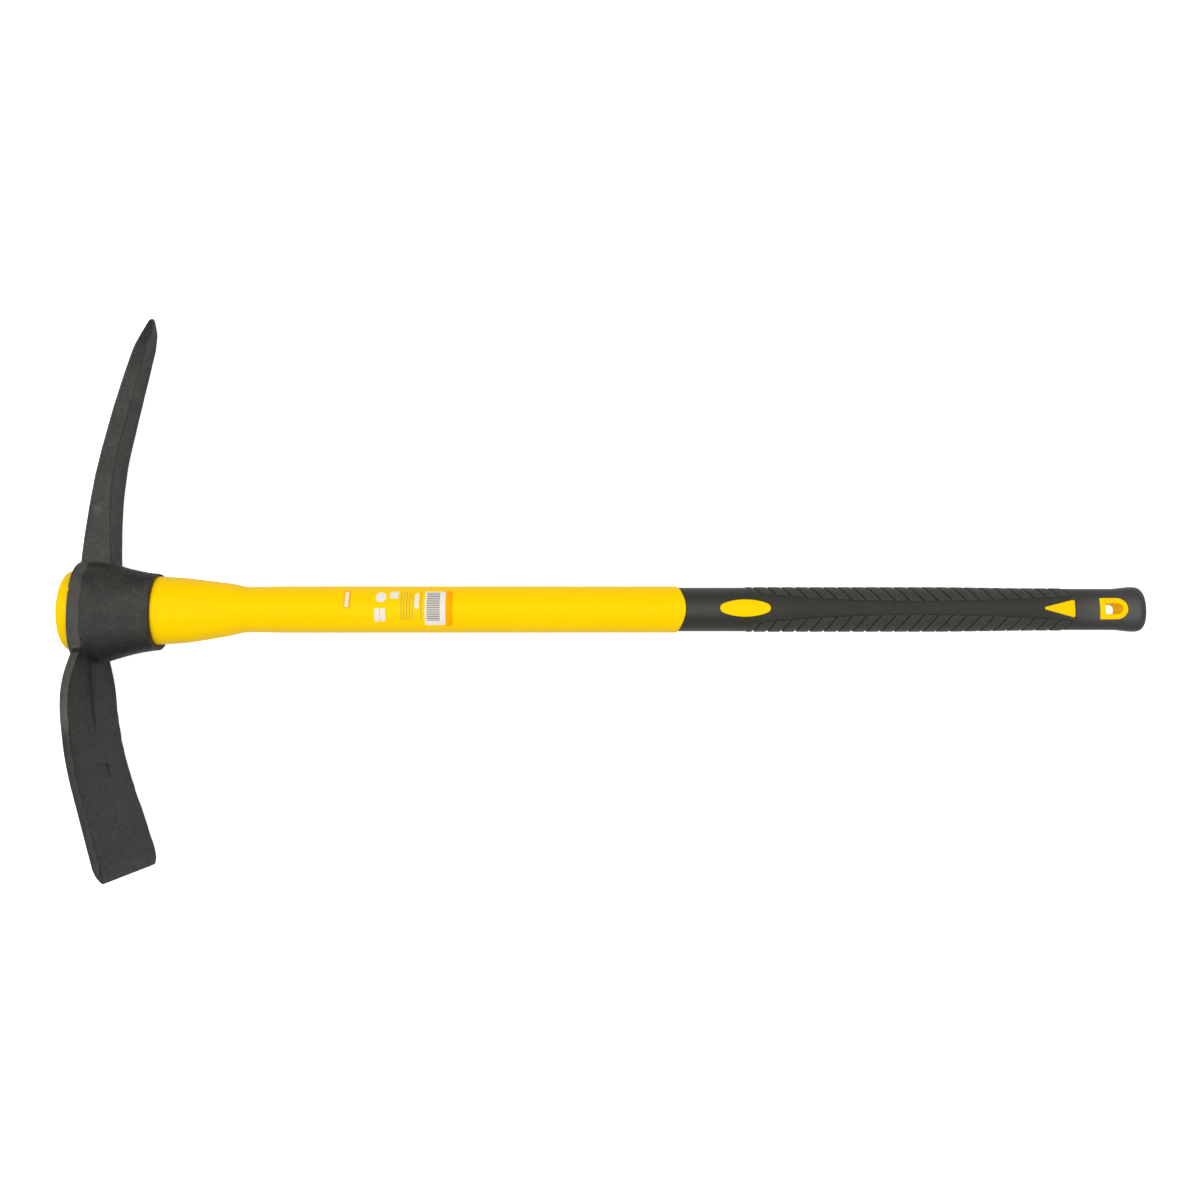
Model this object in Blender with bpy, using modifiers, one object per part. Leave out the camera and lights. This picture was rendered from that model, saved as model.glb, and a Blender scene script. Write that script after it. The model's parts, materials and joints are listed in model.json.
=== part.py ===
"""Pick mattock with a moulded fibreglass handle, lying on its side on the ground.

Every piece is drawn in the tool's own frame, in metres: x runs along the handle from
its head end to its butt, y runs towards the point of the pick, and z is the tool's
thickness. The middle of the handle is the x axis, which is also the line that the head
slides along. The tool's frame is then laid on the ground, the way the tool rests there.
"""

from math import asin, ceil, copysign, cos, floor, pi, radians, sin, sqrt, tan

import bmesh
import bpy
from mathutils import Matrix, Vector, geometry

# Fits
FIT = 0.0003
OVERCUT = 0.002

# Handle: swell, shaft and domed head end, from the head end
HANDLE_LENGTH = 0.8890
SWELL_WIDTH = 0.065
SWELL_THICKNESS = 0.048
SWELL_NECK_WIDTH = 0.053
SWELL_NECK_THICKNESS = 0.0355
SWELL_NECK = 0.100
SWELL_TAIL_WIDTH = 0.0432
SWELL_TAIL_THICKNESS = 0.0326
SWELL_TAIL = 0.134
SHAFT_START = 0.1465
SHAFT_START_WIDTH = 0.0374
SHAFT_FULL = 0.185
SHAFT_WIDTH = 0.0382
SHAFT_THICKNESS = 0.031
DOME_DEPTH = 0.0050
DOME_FLAT = 0.46
SWELL_SHIFT = 0.0008

# Core rod inside the handle
CORE_DIAMETER = 0.020
CORE_RECESS = 0.0005
CORE_TO_RING = 0.0700

# Grip sleeve, from the butt
GRIP_LENGTH = 0.3878
GRIP_WIDTH = 0.0362
GRIP_THICKNESS = 0.0295
GRIP_WALL = 0.0028
GRIP_FRONT_BULGE = 0.0062
GRIP_NECK_FAR = 0.1772
GRIP_NECK_NEAR = 0.0872
GRIP_NECK_SLIM = 0.0019
GRIP_THIN_FAR = 0.1122
GRIP_THIN_NEAR = 0.0442
GRIP_THINNING = 0.0125
GRIP_FLARE_LENGTH = 0.0268
GRIP_FLARE_FULL = 0.0100
GRIP_FLARE = 0.0030
BUTT_WALL = 0.0114
BUTT_ROUND = 0.0075
BUTT_ROUND_FLAT = 0.0035

# Tread on the grip's two sides
TREAD_FROM_FRONT = 0.0624
TREAD_PITCH = 0.01166
TREAD_ANGLE = radians(51.0)
GROOVE_WIDTH = 0.0012
GROOVE_DEPTH = 0.0009
BAND_WAIST = 0.0104
BAND_WAIST_FROM_FRONT = 0.1905
BAND_SPREAD_FRONT = 0.44
BAND_SPREAD_BUTT = 0.26

# Yellow insets that show through the grip
INSET_PROUD = 0.0001
LENS_FROM_FRONT = 0.0545
LENS_LENGTH = 0.0414
LENS_WIDTH = 0.0143
LENS_END = 0.6
ARROW_FROM_BUTT = 0.0607
ARROW_LENGTH = 0.0266
ARROW_WIDTH = 0.0144
ARROW_ROUND = 0.0012
RING_FROM_BUTT = 0.0166
RING_LENGTH = 0.0230
RING_WIDTH = 0.0178
RING_CORNER = 0.0013
HOLE_FROM_RING_EDGE = 0.0050
HOLE_LENGTH = 0.0138
HOLE_WIDTH = 0.0082
HOLE_FLARE = 0.0003
HOLE_CORNER = 0.0010

# Label on the shaft
LABEL_FROM_HEAD_END = 0.2265
LABEL_LENGTH = 0.0915
LABEL_WIDTH = 0.0284
LABEL_THICKNESS = 0.00025

# Eye of the head, from its front face
HEAD_FROM_HEAD_END = 0.0138
EYE_LENGTH = 0.0622
EYE_WIDTH = 0.082
EYE_THICKNESS = 0.056
EYE_RIM_WIDTH = 0.063
EYE_RIM_THICKNESS = 0.044
EYE_SHIFT = 0.0013
EYE_ROUNDNESS = 2.5
EYE_SHOULDER = 0.0197
EYE_HOLLOW = 1.5
LAND_WIDTH = 0.0095
LAND_HEIGHT = 0.0005
LAND_CHAMFER = 0.0010

# Pick, with y from the middle of the handle and x from the eye's front face
PICK_REACH = 0.246
PICK_BURIED = 0.034
PICK_ROOT = 0.0376
PICK_FRONT = -0.0004
PICK_FRONT_SLOPE = 0.085
PICK_FRONT_RADIUS = 0.875
PICK_BACK = 0.0236
PICK_WAIST = 0.085
PICK_ROOT_RADIUS = 0.560
PICK_BEND_RADIUS = 0.260
PICK_BEND_ANGLE = radians(11.8)
PICK_THICKNESS = 0.0262
PICK_THICKEST = 0.108
PICK_ROOT_THINNING = 0.0044
PICK_POINT_THINNING = 0.0068
POINT_LENGTH = 0.0245
POINT_WIDTH = 0.0034
POINT_THICKNESS = 0.0040
POINT_BACK = 0.0478
POINT_NOSE = 0.012
POINT_NOSE_BACK = 0.0490
PICK_FRONT_CHAMFER = 0.0034
PICK_BACK_CHAMFER = 0.0008

# Adze blade, with y from the middle of the handle and x from the eye's front face
ADZE_REACH = 0.2124
ADZE_BURIED = 0.034
ADZE_BACK = 0.0101
ADZE_BEND_START = 0.046
ADZE_BEND_RADIUS = 0.304
ADZE_BEND_ANGLE = radians(19.0)
ADZE_ROOT_THICKNESS = 0.0066
ADZE_EDGE_THICKNESS = 0.0057
ADZE_ROOT_WIDTH = 0.0465
ADZE_SHOULDER = 0.082
ADZE_SHOULDER_WIDTH = 0.0832
ADZE_EDGE_WIDTH = 0.101
ADZE_CORNER_LENGTH = 0.0068
ADZE_CORNER_WIDTH = 0.0044
ADZE_CHAMFER = 0.0008
BEVEL_LENGTH = 0.011
BEVEL_EDGE = 0.0010
RIB_END = 0.103
RIB_WIDTH = 0.0090
RIB_HEIGHT = 0.0042
RIB_TIP = 0.0006

# Facets
OVAL_POINTS = 28
EYE_POINTS = 48
CORE_POINTS = 32
ARC_STEP = 0.012

# Weights, in kilograms per cubic metre, which settle how the tool rests
STEEL_DENSITY = 7850.0
FIBREGLASS_DENSITY = 1900.0
PLASTIC_DENSITY = 950.0
RUBBER_DENSITY = 1150.0
PAPER_DENSITY = 900.0

# Places along the handle that several pieces share
GRIP_FRONT = HANDLE_LENGTH - GRIP_LENGTH
JACKET_END = HANDLE_LENGTH - BUTT_WALL
RING_FRONT = HANDLE_LENGTH - RING_FROM_BUTT - RING_LENGTH
ARROW_BASE = HANDLE_LENGTH - ARROW_FROM_BUTT
EYE_RIM = HEAD_FROM_HEAD_END + EYE_LENGTH


def smooth(value, start, end):
    """0 before start, 1 after end, and an S-shaped rise between them."""
    share = min(max((value - start) / (end - start), 0.0), 1.0)
    return share * share * (3.0 - 2.0 * share)


def blend(first, second, share):
    return first + (second - first) * share


def steps(start, end, spacing):
    """Even stations from start to end, no further apart than spacing."""
    count = max(1, ceil(abs(end - start) / spacing))
    return [blend(start, end, k / count) for k in range(count + 1)]


def arc_sag(along, radius):
    """How far an arc has left its tangent, at a distance along the tangent."""
    return radius - sqrt(radius ** 2 - along ** 2)


def bent_sag(along, radius, angle):
    """The same for an arc that runs on as a straight line once it has turned by angle."""
    bend_end = radius * sin(angle)
    return arc_sag(min(along, bend_end), radius) + max(along - bend_end, 0.0) * tan(angle)


def handle_half(x):
    """Half width and half thickness of the yellow handle at x."""
    if x < SWELL_NECK:
        share = (x - DOME_DEPTH) / (SWELL_NECK - DOME_DEPTH)
        return (
            blend(SWELL_WIDTH, SWELL_NECK_WIDTH, share) / 2,
            blend(SWELL_THICKNESS, SWELL_NECK_THICKNESS, share) / 2,
        )
    if x < SWELL_TAIL:
        share = (x - SWELL_NECK) / (SWELL_TAIL - SWELL_NECK)
        return (
            blend(SWELL_NECK_WIDTH, SWELL_TAIL_WIDTH, share) / 2,
            blend(SWELL_NECK_THICKNESS, SWELL_TAIL_THICKNESS, share) / 2,
        )
    share = min((x - SWELL_TAIL) / (SHAFT_START - SWELL_TAIL), 1.0)
    full = smooth(x, SHAFT_START, SHAFT_FULL)
    return (
        blend(blend(SWELL_TAIL_WIDTH, SHAFT_START_WIDTH, share), SHAFT_WIDTH, full) / 2,
        blend(SWELL_TAIL_THICKNESS, SHAFT_THICKNESS, share) / 2,
    )


def grip_half(x):
    """Half width and half thickness of the grip at x.

    It slims to a neck, thins towards the hang hole and flares at the butt.
    """
    to_butt = HANDLE_LENGTH - x
    neck = smooth(-to_butt, -GRIP_NECK_FAR, -GRIP_NECK_NEAR) * GRIP_NECK_SLIM
    thinning = smooth(-to_butt, -GRIP_THIN_FAR, -GRIP_THIN_NEAR) * GRIP_THINNING
    flare = (1.0 - smooth(to_butt, GRIP_FLARE_FULL, GRIP_FLARE_LENGTH)) * GRIP_FLARE
    return (
        (GRIP_WIDTH - neck + flare) / 2,
        (GRIP_THICKNESS - neck / 2 - thinning + flare / 2) / 2,
    )


def grip_stations():
    """Places along the grip where its neck and its thinning change its section."""
    neck_start = HANDLE_LENGTH - GRIP_NECK_FAR
    thin_start = HANDLE_LENGTH - GRIP_THIN_FAR
    thin_end = HANDLE_LENGTH - GRIP_THIN_NEAR
    return steps(neck_start, thin_start, ARC_STEP) + steps(thin_start, thin_end, ARC_STEP)[1:]


def under_grip_half(x):
    """Half width and half thickness of the handle where the grip covers it."""
    width, thickness = grip_half(min(x, HANDLE_LENGTH - GRIP_FLARE_LENGTH))
    return width - GRIP_WALL - FIT, thickness - GRIP_WALL - FIT


def handle_shift(x):
    """How far the handle's middle lies towards the adze at x, which is only in the swell."""
    return SWELL_SHIFT * (1.0 - smooth(x, SWELL_NECK, SHAFT_START))


def oval_ring(x, half, grow=0.0, bulge=0.0):
    """Points of an oval across the handle at x; bulge moves its flat sides along x."""
    turns = [2 * pi * k / OVAL_POINTS for k in range(OVAL_POINTS)]
    return [
        Vector((
            x + bulge * sin(turn) ** 2,
            (half[0] + grow) * cos(turn) - handle_shift(x),
            (half[1] + grow) * sin(turn),
        ))
        for turn in turns
    ]


def new_collection(name):
    collection = bpy.data.collections.new(name)
    bpy.context.scene.collection.children.link(collection)
    return collection


def add_object(name, mesh, collection, root):
    piece = bpy.data.objects.new(name, mesh)
    collection.objects.link(piece)
    piece.parent = root
    return piece


def add_cutter(name, mesh, collection, root):
    cutter = add_object(name, mesh, collection, root)
    cutter.hide_render = True
    cutter.display_type = 'WIRE'
    return cutter


def mesh_from(name, bm):
    mesh = bpy.data.meshes.new(name)
    bmesh.ops.recalc_face_normals(bm, faces=bm.faces)
    bm.to_mesh(mesh)
    bm.free()
    return mesh


def loft(name, rings):
    """Closed mesh through rings of equal counts, with a flat cap on the first and last."""
    bm = bmesh.new()
    loops = [[bm.verts.new(point) for point in ring] for ring in rings]
    for low, high in zip(loops, loops[1:]):
        for k in range(len(low)):
            after = (k + 1) % len(low)
            bm.faces.new((low[k], low[after], high[after], high[k]))
    bm.faces.new(list(reversed(loops[0])))
    bm.faces.new(loops[-1])
    return mesh_from(name, bm)


def prism(name, outline, half_height):
    """Closed mesh of a flat outline, a list of (x, y), raised both ways along z."""
    curve = bpy.data.curves.new(name, 'CURVE')
    curve.dimensions = '2D'
    curve.fill_mode = 'BOTH'
    curve.extrude = half_height
    spline = curve.splines.new('POLY')
    spline.points.add(len(outline) - 1)
    for point, (x, y) in zip(spline.points, outline):
        point.co = (x, y, 0.0, 1.0)
    spline.use_cyclic_u = True
    drawn = bpy.data.objects.new(name, curve)
    bpy.context.scene.collection.objects.link(drawn)
    bpy.context.view_layer.update()
    evaluated = drawn.evaluated_get(bpy.context.evaluated_depsgraph_get())
    mesh = bpy.data.meshes.new_from_object(evaluated)
    bpy.data.objects.remove(drawn)
    bm = bmesh.new()
    bm.from_mesh(mesh)
    bmesh.ops.remove_doubles(bm, verts=bm.verts, dist=1e-6)
    bpy.data.meshes.remove(mesh)
    return mesh_from(name, bm)


def add_boolean(piece, operation, tool):
    modifier = piece.modifiers.new(operation.title() + ' ' + tool.name, 'BOOLEAN')
    modifier.operation = operation
    modifier.solver = 'EXACT'
    modifier.object = tool


def arc_points(centre, radius, start, end, count):
    """Points of an arc round centre, with the angles from +x."""
    return [
        (centre[0] + radius * cos(a), centre[1] + radius * sin(a))
        for a in (blend(start, end, k / count) for k in range(count + 1))
    ]


def lens_outline(grow=0.0):
    """Two flat arcs that meet in blunt round ends."""
    centre = GRIP_FRONT + LENS_FROM_FRONT
    count = 32
    outline = []
    for k in range(count):
        turn = 2 * pi * k / count
        along = cos(turn)
        across = (1.0 - LENS_END * along ** 2) * sqrt(max(1.0 - along ** 20, 0.0))
        outline.append((
            centre + (LENS_LENGTH / 2 + grow) * along,
            copysign(across, sin(turn)) * (LENS_WIDTH / 2 + grow),
        ))
    return outline


def arrow_outline(grow=0.0):
    """Triangle with round corners that points at the head."""
    radius = ARROW_ROUND + grow
    tip = ARROW_BASE - ARROW_LENGTH + ARROW_ROUND
    base = ARROW_BASE - ARROW_ROUND
    side = ARROW_WIDTH / 2 - ARROW_ROUND
    slant = asin(side / sqrt((base - tip) ** 2 + side ** 2))
    upper = arc_points((base, side), radius, 0.0, pi / 2 + slant, 4)
    point = arc_points((tip, 0.0), radius, pi / 2 + slant, 3 * pi / 2 - slant, 6)
    lower = arc_points((base, -side), radius, 3 * pi / 2 - slant, 2 * pi, 4)
    return upper + point + lower


def d_outline(front, length, width, corner, grow=0.0):
    """Letter-D outline: square corners at its front, a half circle towards the butt."""
    half = width / 2 + grow
    radius = corner + grow
    middle = front + length - width / 2
    left = front + corner
    round_end = arc_points((middle, 0.0), half, -pi / 2, pi / 2, 12)
    top = arc_points((left, width / 2 - corner), radius, pi / 2, pi, 3)
    bottom = arc_points((left, corner - width / 2), radius, pi, 3 * pi / 2, 3)
    return round_end + top + bottom


def ring_outline(grow=0.0):
    return d_outline(RING_FRONT, RING_LENGTH, RING_WIDTH, RING_CORNER, grow)


def hole_outline(grow=0.0):
    front = RING_FRONT + HOLE_FROM_RING_EDGE
    return d_outline(front, HOLE_LENGTH, HOLE_WIDTH, HOLE_CORNER, grow)


def hole_rings(half_height):
    """Rings of the hang hole from its lower mouth to its upper one, narrow in the middle."""
    levels = (-half_height - OVERCUT, -half_height, 0.0, half_height, half_height + OVERCUT)
    grows = (HOLE_FLARE, HOLE_FLARE, 0.0, HOLE_FLARE, HOLE_FLARE)
    return [
        [Vector((x, y, z)) for x, y in hole_outline(grow)]
        for z, grow in zip(levels, grows)
    ]


def handle_mesh():
    """Domed head end, swell and shaft, then the thinner part that the grip covers."""
    rings = []
    dome_turns = 5
    for k in range(dome_turns):
        turn = pi / 2 * k / dome_turns
        half = handle_half(DOME_DEPTH)
        size = DOME_FLAT + (1 - DOME_FLAT) * sin(turn)
        rings.append(oval_ring(DOME_DEPTH * (1 - cos(turn)), (half[0] * size, half[1] * size)))
    turns = [DOME_DEPTH, SWELL_NECK, SWELL_TAIL, SHAFT_START]
    turns += steps(SHAFT_START, SHAFT_FULL, ARC_STEP)[1:]
    rings += [oval_ring(x, handle_half(x)) for x in turns]
    shoulder = GRIP_FRONT - FIT
    rings.append(oval_ring(shoulder, handle_half(shoulder), bulge=GRIP_FRONT_BULGE))
    rings.append(oval_ring(shoulder, under_grip_half(shoulder), bulge=GRIP_FRONT_BULGE))
    for x in grip_stations() + [JACKET_END]:
        rings.append(oval_ring(x, under_grip_half(x)))
    return loft('handle_jacket', rings)


def sleeve_mesh():
    """Closed-end sleeve: its inside from the bottom to the mouth, then its outside."""
    stations = grip_stations()
    rings = []
    for x in [JACKET_END + FIT] + stations[::-1]:
        rings.append(oval_ring(x, under_grip_half(x), grow=FIT))
    rings.append(oval_ring(GRIP_FRONT, under_grip_half(GRIP_FRONT), FIT, GRIP_FRONT_BULGE))
    rings.append(oval_ring(GRIP_FRONT, grip_half(GRIP_FRONT), bulge=GRIP_FRONT_BULGE))
    flare_start = HANDLE_LENGTH - GRIP_FLARE_LENGTH
    round_start = HANDLE_LENGTH - BUTT_ROUND
    for x in stations + steps(flare_start, round_start, ARC_STEP / 2):
        rings.append(oval_ring(x, grip_half(x)))
    half = grip_half(round_start)
    round_turns = 4
    for k in range(1, round_turns + 1):
        turn = pi / 2 * k / round_turns
        inset = 1 - cos(turn)
        rings.append(oval_ring(
            round_start + BUTT_ROUND * sin(turn),
            (half[0] - BUTT_ROUND * inset, half[1] - BUTT_ROUND_FLAT * inset)))
    return loft('grip_sleeve', rings)


def grip_skin(name, grow):
    """Closed body with the grip's outer form, grown by the given amount."""
    stations = [GRIP_FRONT - OVERCUT] + grip_stations()
    flare = steps(HANDLE_LENGTH - GRIP_FLARE_LENGTH, HANDLE_LENGTH - BUTT_ROUND, ARC_STEP / 2)
    return loft(name, [oval_ring(x, grip_half(x), grow) for x in stations + flare])


def band_half(x):
    """Half width of the smooth band between the two rows of tread at x."""
    offset = x - GRIP_FRONT - BAND_WAIST_FROM_FRONT
    spread = BAND_SPREAD_FRONT if offset < 0 else BAND_SPREAD_BUTT
    return BAND_WAIST / 2 + spread * offset ** 2


def groove_slabs():
    """Slanting slabs, one a groove on each side, from the smooth band out past the side."""
    bm = bmesh.new()
    first = GRIP_FRONT + TREAD_FROM_FRONT
    outer = GRIP_WIDTH / 2
    count = floor((ARROW_BASE - first) / TREAD_PITCH) + 1
    for k in range(count):
        side_x = first + k * TREAD_PITCH
        inner = band_half(side_x + (outer - BAND_WAIST / 2) / tan(TREAD_ANGLE) / 2)
        reach = (outer + OVERCUT - inner) / sin(TREAD_ANGLE)
        middle_y = (outer + OVERCUT + inner) / 2
        middle_x = side_x + (outer - middle_y) / tan(TREAD_ANGLE)
        for side in (1, -1):
            place = Matrix.Translation((middle_x, side * middle_y, 0.0))
            turn = Matrix.Rotation(-side * TREAD_ANGLE, 4, 'Z')
            size = Matrix.Diagonal((reach, GROOVE_WIDTH, GRIP_THICKNESS + 2 * GRIP_FLARE, 1.0))
            bmesh.ops.create_cube(bm, size=1.0, matrix=place @ turn @ size)
    return mesh_from('groove_slabs', bm)


def label_mesh():
    """Open sheet bent over the shaft's upper side, one gap away from it."""
    half = handle_half(LABEL_FROM_HEAD_END)
    width = half[0] + FIT
    thickness = half[1] + FIT
    bends = 12
    rows = []
    for k in range(bends + 1):
        y = blend(-LABEL_WIDTH / 2, LABEL_WIDTH / 2, k / bends)
        rows.append((y, thickness * sqrt(1 - (y / width) ** 2)))
    bm = bmesh.new()
    near = [bm.verts.new((LABEL_FROM_HEAD_END, y, z)) for y, z in rows]
    far = [bm.verts.new((LABEL_FROM_HEAD_END + LABEL_LENGTH, y, z)) for y, z in rows]
    for k in range(bends):
        bm.faces.new((near[k], far[k], far[k + 1], near[k + 1]))
    mesh = bpy.data.meshes.new('shaft_label')
    bm.to_mesh(mesh)
    bm.free()
    return mesh


def eye_mesh():
    """Outside of the eye: a land with a chamfer at its front, then a hollow taper."""
    def ring(x, grow=0.0):
        start = HEAD_FROM_HEAD_END + EYE_SHOULDER
        share = min(max((x - start) / (EYE_RIM - start), 0.0), 1.0)
        keep = (1.0 - share) ** EYE_HOLLOW
        along = (x - HEAD_FROM_HEAD_END) / EYE_LENGTH
        half_width = blend(EYE_RIM_WIDTH, EYE_WIDTH, keep) / 2 + grow
        half_thickness = blend(EYE_THICKNESS, EYE_RIM_THICKNESS, along) / 2 + grow
        points = []
        for k in range(EYE_POINTS):
            turn = 2 * pi * k / EYE_POINTS
            across = copysign(abs(cos(turn)) ** (2 / EYE_ROUNDNESS), cos(turn))
            up = copysign(abs(sin(turn)) ** (2 / EYE_ROUNDNESS), sin(turn))
            y = half_width * across - EYE_SHIFT - SWELL_SHIFT
            points.append(Vector((x, y, half_thickness * up)))
        return points

    front = HEAD_FROM_HEAD_END
    land_end = front + LAND_WIDTH
    rings = [
        ring(front, LAND_HEIGHT - LAND_CHAMFER),
        ring(front + LAND_CHAMFER, LAND_HEIGHT),
        ring(land_end, LAND_HEIGHT),
        ring(land_end + LAND_HEIGHT),
    ]
    rings += [ring(x) for x in steps(front + EYE_SHOULDER, EYE_RIM, ARC_STEP / 2)]
    return loft('mattock_head', rings)


def eye_hole_mesh():
    stations = [HEAD_FROM_HEAD_END - OVERCUT] + steps(HEAD_FROM_HEAD_END, EYE_RIM, ARC_STEP)
    stations.append(EYE_RIM + OVERCUT)
    return loft('eye_hole', [oval_ring(x, handle_half(x), grow=FIT) for x in stations])


def bar_ring(y, front, back, half, front_chamfer, back_chamfer):
    """Oblong with cut corners across an arm of the head at y."""
    upper = [
        (back, half - back_chamfer),
        (back - back_chamfer, half),
        (front + front_chamfer, half),
        (front, half - front_chamfer),
    ]
    lower = [(x, -z) for x, z in reversed(upper)]
    return [Vector((HEAD_FROM_HEAD_END + x, y, z)) for x, z in upper + lower]


def pick_section(y):
    """Front edge, back edge and half thickness of the pick at y."""
    rise = y - PICK_ROOT
    front = PICK_FRONT + PICK_FRONT_SLOPE * rise + rise ** 2 / (2 * PICK_FRONT_RADIUS)
    if y < PICK_WAIST:
        back = PICK_BACK + arc_sag(PICK_WAIST - y, PICK_ROOT_RADIUS)
    else:
        back = PICK_BACK + bent_sag(y - PICK_WAIST, PICK_BEND_RADIUS, PICK_BEND_ANGLE)
    if y < PICK_THICKEST:
        share = (PICK_THICKEST - y) / (PICK_THICKEST - PICK_ROOT)
        thinning = PICK_ROOT_THINNING * share
    else:
        share = (y - PICK_THICKEST) / (PICK_REACH - POINT_LENGTH - PICK_THICKEST)
        thinning = PICK_POINT_THINNING * share
    return front, back, (PICK_THICKNESS - thinning) / 2


def pick_mesh():
    """Curved bar that grows slimmer outwards and ends in a four-sided point."""
    point_start = PICK_REACH - POINT_LENGTH
    rings = []
    for y in steps(PICK_BURIED, point_start, ARC_STEP):
        front, back, half = pick_section(y)
        rings.append(bar_ring(y, front, back, half, PICK_FRONT_CHAMFER, PICK_BACK_CHAMFER))
    front, _, half = pick_section(point_start)
    left = POINT_NOSE / POINT_LENGTH
    rings.append(bar_ring(
        PICK_REACH - POINT_NOSE, blend(POINT_BACK - POINT_WIDTH, front, left), POINT_NOSE_BACK,
        blend(POINT_THICKNESS / 2, half, left), PICK_FRONT_CHAMFER * left, PICK_BACK_CHAMFER))
    tip_chamfer = POINT_WIDTH / 5
    rings.append(bar_ring(
        PICK_REACH, POINT_BACK - POINT_WIDTH, POINT_BACK, POINT_THICKNESS / 2,
        tip_chamfer, tip_chamfer))
    return loft('pick_arm', rings)


def adze_back(reach):
    """Inner face of the blade, x at a distance reach from the middle of the handle."""
    return ADZE_BACK + bent_sag(reach - ADZE_BEND_START, ADZE_BEND_RADIUS, ADZE_BEND_ANGLE)


def adze_half(reach):
    """Half width of the blade: a curved shoulder, then a straight flare to the edge."""
    if reach < ADZE_SHOULDER:
        share = (reach - ADZE_BURIED) / (ADZE_SHOULDER - ADZE_BURIED)
        return blend(ADZE_SHOULDER_WIDTH, ADZE_ROOT_WIDTH, (1.0 - share) ** 2) / 2
    share = (reach - ADZE_SHOULDER) / (ADZE_REACH - ADZE_SHOULDER)
    return blend(ADZE_SHOULDER_WIDTH, ADZE_EDGE_WIDTH, share) / 2


def adze_mesh():
    """Curved blade, bevelled on both faces down to the cutting edge."""
    bevel_start = ADZE_REACH - BEVEL_LENGTH
    corner_start = ADZE_REACH - ADZE_CORNER_LENGTH
    stations = steps(ADZE_BURIED, ADZE_SHOULDER, ARC_STEP / 2)
    stations += steps(ADZE_SHOULDER, bevel_start, ARC_STEP)[1:]
    stations += steps(corner_start, ADZE_REACH, ADZE_CORNER_LENGTH / 3)
    rings = []
    for reach in stations:
        share = (reach - ADZE_BURIED) / (ADZE_REACH - ADZE_BURIED)
        thickness = blend(ADZE_ROOT_THICKNESS, ADZE_EDGE_THICKNESS, share)
        middle = adze_back(reach) - thickness / 2
        bevel = max(reach - bevel_start, 0.0) / BEVEL_LENGTH
        thickness = blend(thickness, BEVEL_EDGE, bevel)
        front = middle - thickness / 2
        back = middle + thickness / 2
        corner = max(reach - corner_start, 0.0) / ADZE_CORNER_LENGTH
        half = adze_half(reach) - ADZE_CORNER_WIDTH * corner ** 1.7
        chamfer = min(ADZE_CHAMFER, thickness / 4)
        rings.append(bar_ring(-reach, front, back, half, chamfer, chamfer))
    return loft('adze_blade', rings)


def rib_mesh():
    """Ridge on the blade's inner face that fades out away from the eye."""
    rings = []
    for reach in steps(ADZE_BURIED, RIB_END, ARC_STEP):
        share = (reach - ADZE_BURIED) / (RIB_END - ADZE_BURIED)
        half = blend(RIB_WIDTH, RIB_TIP, share) / 2
        height = blend(RIB_HEIGHT, RIB_TIP / 2, share)
        back = HEAD_FROM_HEAD_END + adze_back(reach)
        sunk = back - ADZE_EDGE_THICKNESS / 2
        section = [(sunk, half), (back, half), (back + height, half / 2)]
        ring = section + [(x, -z) for x, z in reversed(section)]
        rings.append([Vector((x, -reach, z)) for x, z in ring])
    return loft('blade_rib', rings)


def finish(piece, colour, roughness, metallic, sharp_degrees=30.0):
    """Give a piece its own material and smooth shading with sharp edges."""
    material = bpy.data.materials.new(piece.name)
    material.use_nodes = True
    shader = material.node_tree.nodes['Principled BSDF']
    shader.inputs['Base Color'].default_value = (*colour, 1.0)
    shader.inputs['Roughness'].default_value = roughness
    shader.inputs['Metallic'].default_value = metallic
    piece.data.materials.append(material)
    piece.data.shade_smooth()
    piece.data.set_sharp_from_angle(angle=radians(sharp_degrees))


def build_head(parts, cutters, root):
    """The one-piece forging: eye, pick, adze blade and rib, with the tapered eye hole."""
    head = add_object('mattock_head', eye_mesh(), parts, root)
    for mesh in (pick_mesh(), adze_mesh(), rib_mesh()):
        add_boolean(head, 'UNION', add_cutter(mesh.name, mesh, cutters, root))
    add_boolean(head, 'DIFFERENCE', add_cutter('eye_hole', eye_hole_mesh(), cutters, root))
    finish(head, (0.065, 0.065, 0.062), 0.55, 0.6)
    return head


def build_core(parts, root):
    """Round rod, open to view in the dome at the head end."""
    end = RING_FRONT - CORE_TO_RING
    length = end - CORE_RECESS
    bm = bmesh.new()
    middle = Matrix.Translation((CORE_RECESS + length / 2, 0.0, 0.0))
    place = middle @ Matrix.Rotation(pi / 2, 4, 'Y')
    bmesh.ops.create_cone(
        bm, cap_ends=True, segments=CORE_POINTS, radius1=CORE_DIAMETER / 2,
        radius2=CORE_DIAMETER / 2, depth=length, matrix=place)
    core = add_object('handle_core', mesh_from('handle_core', bm), parts, root)
    finish(core, (0.62, 0.58, 0.42), 0.45, 0.0)
    return core


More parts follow.
